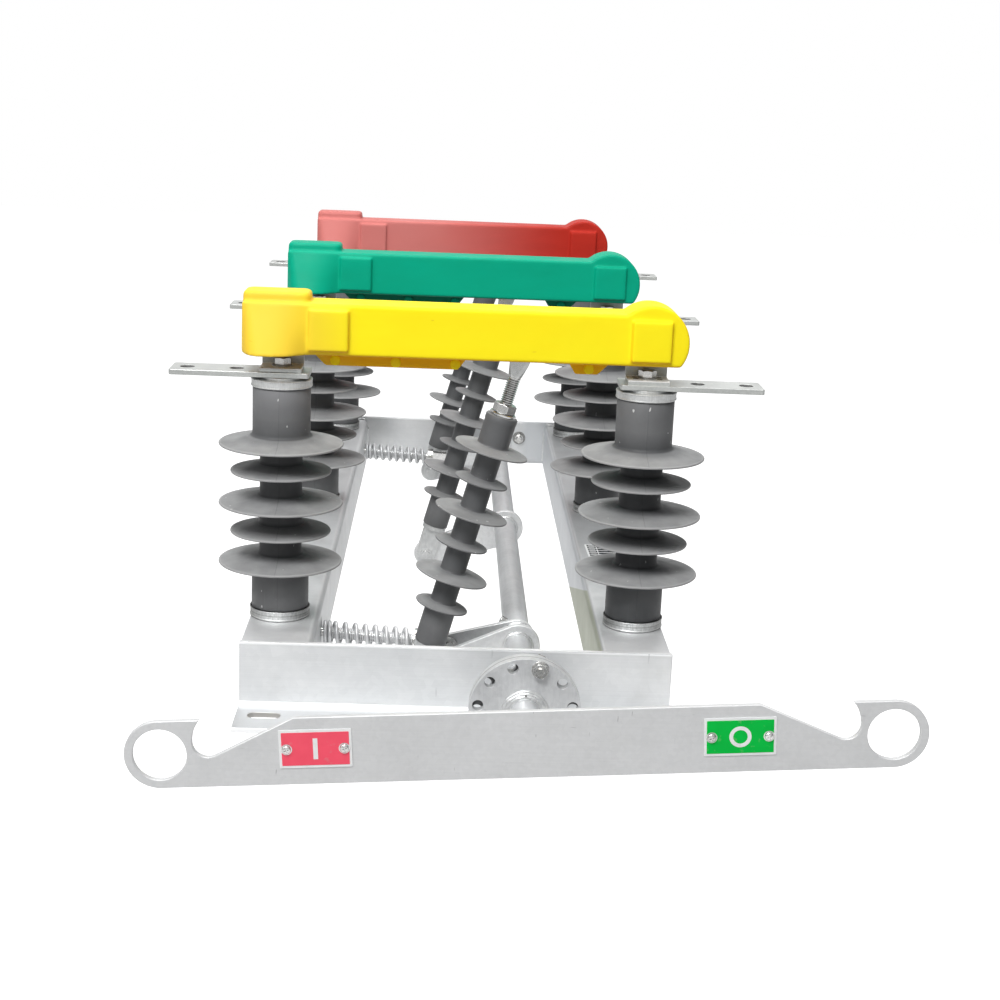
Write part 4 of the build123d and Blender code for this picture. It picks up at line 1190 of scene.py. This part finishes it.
def coil_spring(name, y, coil_radius, open_turns, closed_turns, closed_pitch, steps, wire_radius, facets):
    """Round wire wound from the arm's end, open turns first and closed ones at the anchor."""
    along = (anchor - arm_pin).normalized()
    across = Vector((0, 1, 0))
    third = along.cross(across)
    open_pitch = (spring_end - spring_start - closed_turns * closed_pitch) / open_turns
    places = []
    for k in range(int((closed_turns + open_turns) * steps) + 1):
        t = k / steps
        distance = spring_start + min(t, open_turns) * open_pitch + max(t - open_turns, 0) * closed_pitch
        a = 2 * math.pi * t
        out = (across * math.cos(a) + third * math.sin(a)) * coil_radius
        places.append((arm_pin + Vector((0, y, 0)) + along * distance + out, 1.0))
    line, spline = round_wire(name, "NURBS", places, wire_radius, facets)
    spline.order_u = 3
    spline.use_endpoint_u = True
    line.resolution_u = 2
    return wire_mesh(name, line)


for word, y in spring_ys.items():
    strut = f"spring_strut_{word}"
    dress(coil_spring(f"coil_spring_{word}", y, 0.0104, 8.0, 2.0, 0.0046, 20, 0.0020, 3), spring_steel, strut,
          "spring_steel", f"spring_{word}")
    dress(coil_spring(f"inner_spring_{word}", y, 0.0054, 42, 2, 0.0019, 14, 0.00092, 1), spring_steel, strut,
          "spring_steel")
    dress(refine(f"guide_rod_{word}", f"spring_guide_{word}", 0.0005), bolt_zinc, strut, "zinc_plated_steel",
          f"spring_guide_{word}")

# ---------------------------------------------------------------- coupling discs and lever
# Two drilled steel discs bolted face to face, so the lever can be set at another angle, a
# welded stub, and the flat lever with an eye and a hook notch at each end for the operating pole.
disc_zinc = zinc_finish("disc_zinc", (0.50, 0.51, 0.52), (0.66, 0.67, 0.68), 0.45, 0.40, 0.58,
                        (90, 60, 14), 260, edge_highlight=0.12)
lever_zinc = zinc_finish("lever_zinc", (0.54, 0.545, 0.55), (0.59, 0.595, 0.60), 0.35, 0.42, 0.52,
                         (3, 90, 130), 300, marks=0.07, stain=0.10, edge_highlight=0.14)
tint_where(disc_zinc, ([("Y", -0.0474, -0.0466), ("Y", -0.0456, -0.0464)], (0.06, 0.06, 0.06), 0.9))
nicks(lever_zinc, (420, 420, 60), (0.0, 0.7, 0.0), 0.765, 0.80, (0.22, 0.22, 0.23), 0.8)
nicks(lever_zinc, (50, 50, 420), (0.0, -0.3, 0.0), 0.775, 0.81, (0.30, 0.30, 0.31), 0.6)
disc_face, disc_back, lever_back = -0.0545, -0.0385, -0.1215
for name, node, edge, finish in (("rear_disc", "shaft_flange", 0.0008, disc_zinc),
                                 ("front_disc", "lever_flange", 0.0008, disc_zinc),
                                 ("stub_tube", "lever_stub", 0.0004, shaft_zinc),
                                 ("lever", "lever_bar", 0.0008, lever_zinc)):
    dress(refine(name, node, edge), finish, "shaft", "galvanised_steel", node)
for run, (radius, bead) in enumerate(((0.0150, 0.0034), (0.0180, 0.0027), (0.0204, 0.0017))):
    weld_round(f"stub_weld_disc_{run + 1}", disc_face - 0.0010, radius, 34 + 4 * run, bead,
               "galvanised_steel")
# the weld's crater is a dark plug, painted shade in the pit
crater = round_bar("stub_weld_crater", (shaft_x, disc_face - 0.0046, shaft_z + 0.0178),
                   (shaft_x, disc_face - 0.0020, shaft_z + 0.0170), 0.0011, 16)
dress(crater, hole_shade, "shaft", "galvanised_steel")
weld_round("stub_weld_lever", lever_back, 0.0146, 34, 0.0024, "galvanised_steel")
weld_round("shaft_weld_disc", -0.0370, 0.0146, 34, 0.0022, "galvanised_steel")
bolt_angle = math.radians(74)
bolt_spot = Vector((shaft_x + 0.043 * math.cos(bolt_angle), 0, shaft_z + 0.043 * math.sin(bolt_angle)))
disc_nut = hexagon("disc_nut", 0.0125, 0.0052)
disc_nut.data.transform(Matrix.Translation((0, 0, 0.0014)) @ Matrix.Rotation(math.radians(20), 4, "Z"))
soften(disc_nut, 0.0003)
disc_stud = turned("disc_stud", [(0.0040, 0.001), (0.0040, 0.0084), (0.0036, 0.0090), (0.0015, 0.0088)],
                   28, 35)
disc_nut = merge("disc_nut", [disc_nut, disc_stud, washer("disc_washer", 0.0080, 0.0014)])
disc_bolt = hexagon_bolt("disc_bolt", 0.013, 0.0040, 0.0080, 0.0012)
for piece, y, facing in ((disc_nut, disc_face, facing_front), (disc_bolt, disc_back, facing_back)):
    piece.data.transform(Matrix.Translation(bolt_spot + Vector((0, y, 0))) @ facing)
    dress(piece, bolt_zinc, "shaft", "zinc_plated_steel")

# ---------------------------------------------------------------- position plates
# Enamelled aluminium plates on the lever, red for closed and green for open, each with a
# white border, a plain I or O mark and two cross-head screws.
lever_place = Matrix.Translation((shaft_x, -0.1289, shaft_z)) @ Matrix.Rotation(-math.radians(3.44), 4, "Y")
backing_depth, panel_depth, mark_depth = 0.0010, 0.00025, 0.0002


def enamel_finish(name, colour, shade, roughness):
    """Enamel on a small plate: even colour with faint orange peel and grime."""
    finish, spot = new_finish(name, 0.0, roughness)
    grime = cloud(finish, spot, 150, 0.62, 0.80, 0, 0.35, detail=7)
    lay_over(finish, blend_colour(finish, cloud(finish, spot, 60, 0.3, 0.7), shade, colour),
             (grime, (0.45, 0.43, 0.40)))
    roughen(finish, spot, 90, roughness - 0.06, roughness + 0.10)
    add_bump(finish, (cloud(finish, spot, 700, 0.3, 0.7), 0.00001))
    return finish


white_enamel = enamel_finish("white_enamel", (0.84, 0.85, 0.85), (0.76, 0.77, 0.78), 0.36)
red_enamel = enamel_finish("red_enamel", (0.90, 0.078, 0.135), (0.85, 0.066, 0.118), 0.44)
green_enamel = enamel_finish("green_enamel", (0.0, 0.52, 0.060), (0.0, 0.46, 0.052), 0.44)
set_level(green_enamel, Specular_IOR_Level=0.12)


def small_plate(name, width, height, thickness, corner, outward):
    """Thin plate on the lever's front, standing out by outward."""
    piece = block(name, (-width / 2, -outward - thickness, -height / 2), (width / 2, -outward, height / 2))
    round_corners(piece, 1, corner, 5)
    soften(piece, min(0.0002, thickness / 3), 2, 40)
    return piece


screw = turned("screw_pattern", [(0.0048, 0), (0.0048, 0.0004), (0.0040, 0.0006), (0.0038, 0.0016),
                                 (0.0029, 0.0024), (0.0013, 0.0028)], 32, 40)
for turn_by in (0, 90):
    slot_bar = block("cross", (-0.0023, -0.00045, 0.0016), (0.0023, 0.00045, 0.004))
    slot_bar.data.transform(Matrix.Rotation(math.radians(turn_by + 18), 4, "Z"))
    cut_away(screw, slot_bar)
mark_at = backing_depth + panel_depth
for colour, enamel, along in (("red", red_enamel, -0.181), ("green", green_enamel, 0.181)):
    spot = lever_place @ Matrix.Translation((along, 0, 0.0025))
    backing = small_plate(f"{colour}_plate_backing", 0.0620, 0.0345, backing_depth, 0.0008, 0.0)
    panel = small_plate(f"{colour}_plate_panel", 0.0575, 0.0298, panel_depth, 0.0004, backing_depth)
    if colour == "red":
        mark = small_plate("red_plate_mark", 0.0040, 0.0190, mark_depth, 0.0003, mark_at)
    else:
        mark = round_bar("green_plate_mark", (0, -mark_at - mark_depth, 0), (0, -mark_at, 0), 0.0095, 48)
        cut_away(mark, round_bar("middle", (0, -0.003, 0), (0, 0.001, 0), 0.0062, 48))
    for piece, finish in ((backing, white_enamel), (panel, enamel), (mark, white_enamel)):
        piece.data.transform(spot)
        dress(piece, finish, "shaft", "galvanised_steel")
    for n, offset in enumerate((-0.0246, 0.0246)):
        screw_spot = spot @ Matrix.Translation((offset, -mark_at, 0)) @ facing_front
        dress(placed_copy(screw, f"{colour}_plate_screw_{n + 1}", screw_spot), bolt_zinc, "shaft",
              "zinc_plated_steel")
bpy.data.objects.remove(screw)

# ---------------------------------------------------------------- frame details
# The welds that join the side members to the end webs, the earthing bolt on the rear web and
# the nameplate on the right member, enamelled in black with blank cells.
for word, y in (("front", web_back + 0.0008), ("rear", rear_web - 0.0008)):
    for hand, side in (("left", -1), ("right", 1)):
        top = [(side * (0.141 + 0.0020 * k), y, frame_top + 0.0004) for k in range(31)]
        weld(f"{word}_top_weld_{hand}", top, 0.0019, False, "frame", "galvanised_steel")
        down = [(side * (side_inner - 0.0004), y, 0.006 + 0.0020 * k) for k in range(23)]
        weld(f"{word}_corner_weld_{hand}", down, 0.0019, False, "frame", "galvanised_steel")
earth_spot = Matrix.Translation((0.0975, rear_web, 0.0415)) @ facing_front
earth = hexagon_bolt("earth_bolt", 0.013, 0.0055, 0.0066, 0.0016)
earth_stud = turned("earth_stud", [(0.0040, 0.004), (0.0040, 0.0098), (0.0034, 0.0106), (0.0012, 0.0106)],
                    24, 35)
earth = merge("earth_bolt", [earth, earth_stud])
for piece, finish in ((washer("earth_washer", 0.0098, 0.0015), washer_zinc), (earth, bolt_zinc)):
    piece.data.transform(earth_spot)
    dress(piece, finish, "frame", "zinc_plated_steel")

plate_dark = enamel_finish("plate_print", (0.020, 0.021, 0.023), (0.030, 0.031, 0.034), 0.55)
set_level(plate_dark, Specular_IOR_Level=0.10)
plate_spot = Matrix.Translation((0.166, 0.3925, frame_top)) @ Matrix.Rotation(math.radians(1.5), 4, "Z")
plate_half_x, plate_half_y, plate_depth, print_depth = 0.017, 0.025, 0.0006, 0.00015
row_starts = [-0.0230 + 0.0079 * row for row in range(6)]


def plate_leaf(name, low, high, base, thickness):
    """Flat leaf of the nameplate, given by two corners in its own plane."""
    leaf = block(name, (*low, base), (*high, base + thickness))
    leaf.data.transform(plate_spot)
    return leaf


nameplate = plate_leaf("nameplate", (-plate_half_x, -plate_half_y), (plate_half_x, plate_half_y), 0.0,
                       plate_depth)
dress(nameplate, white_enamel, "frame", "galvanised_steel")
cells = [plate_leaf("cell", (left, y), (right, y + 0.0055), plate_depth, print_depth)
         for y in row_starts for left, right in ((-0.0150, -0.0050), (-0.0040, 0.0150))]
dress(merge("nameplate_cells", cells), plate_dark, "frame", "galvanised_steel")
rows = [plate_leaf("row", (-0.0134, y + 0.0022), (-0.0066, y + 0.0036), plate_depth + print_depth, 0.0001)
        for y in row_starts]
dress(merge("nameplate_rows", rows), white_enamel, "frame", "galvanised_steel")
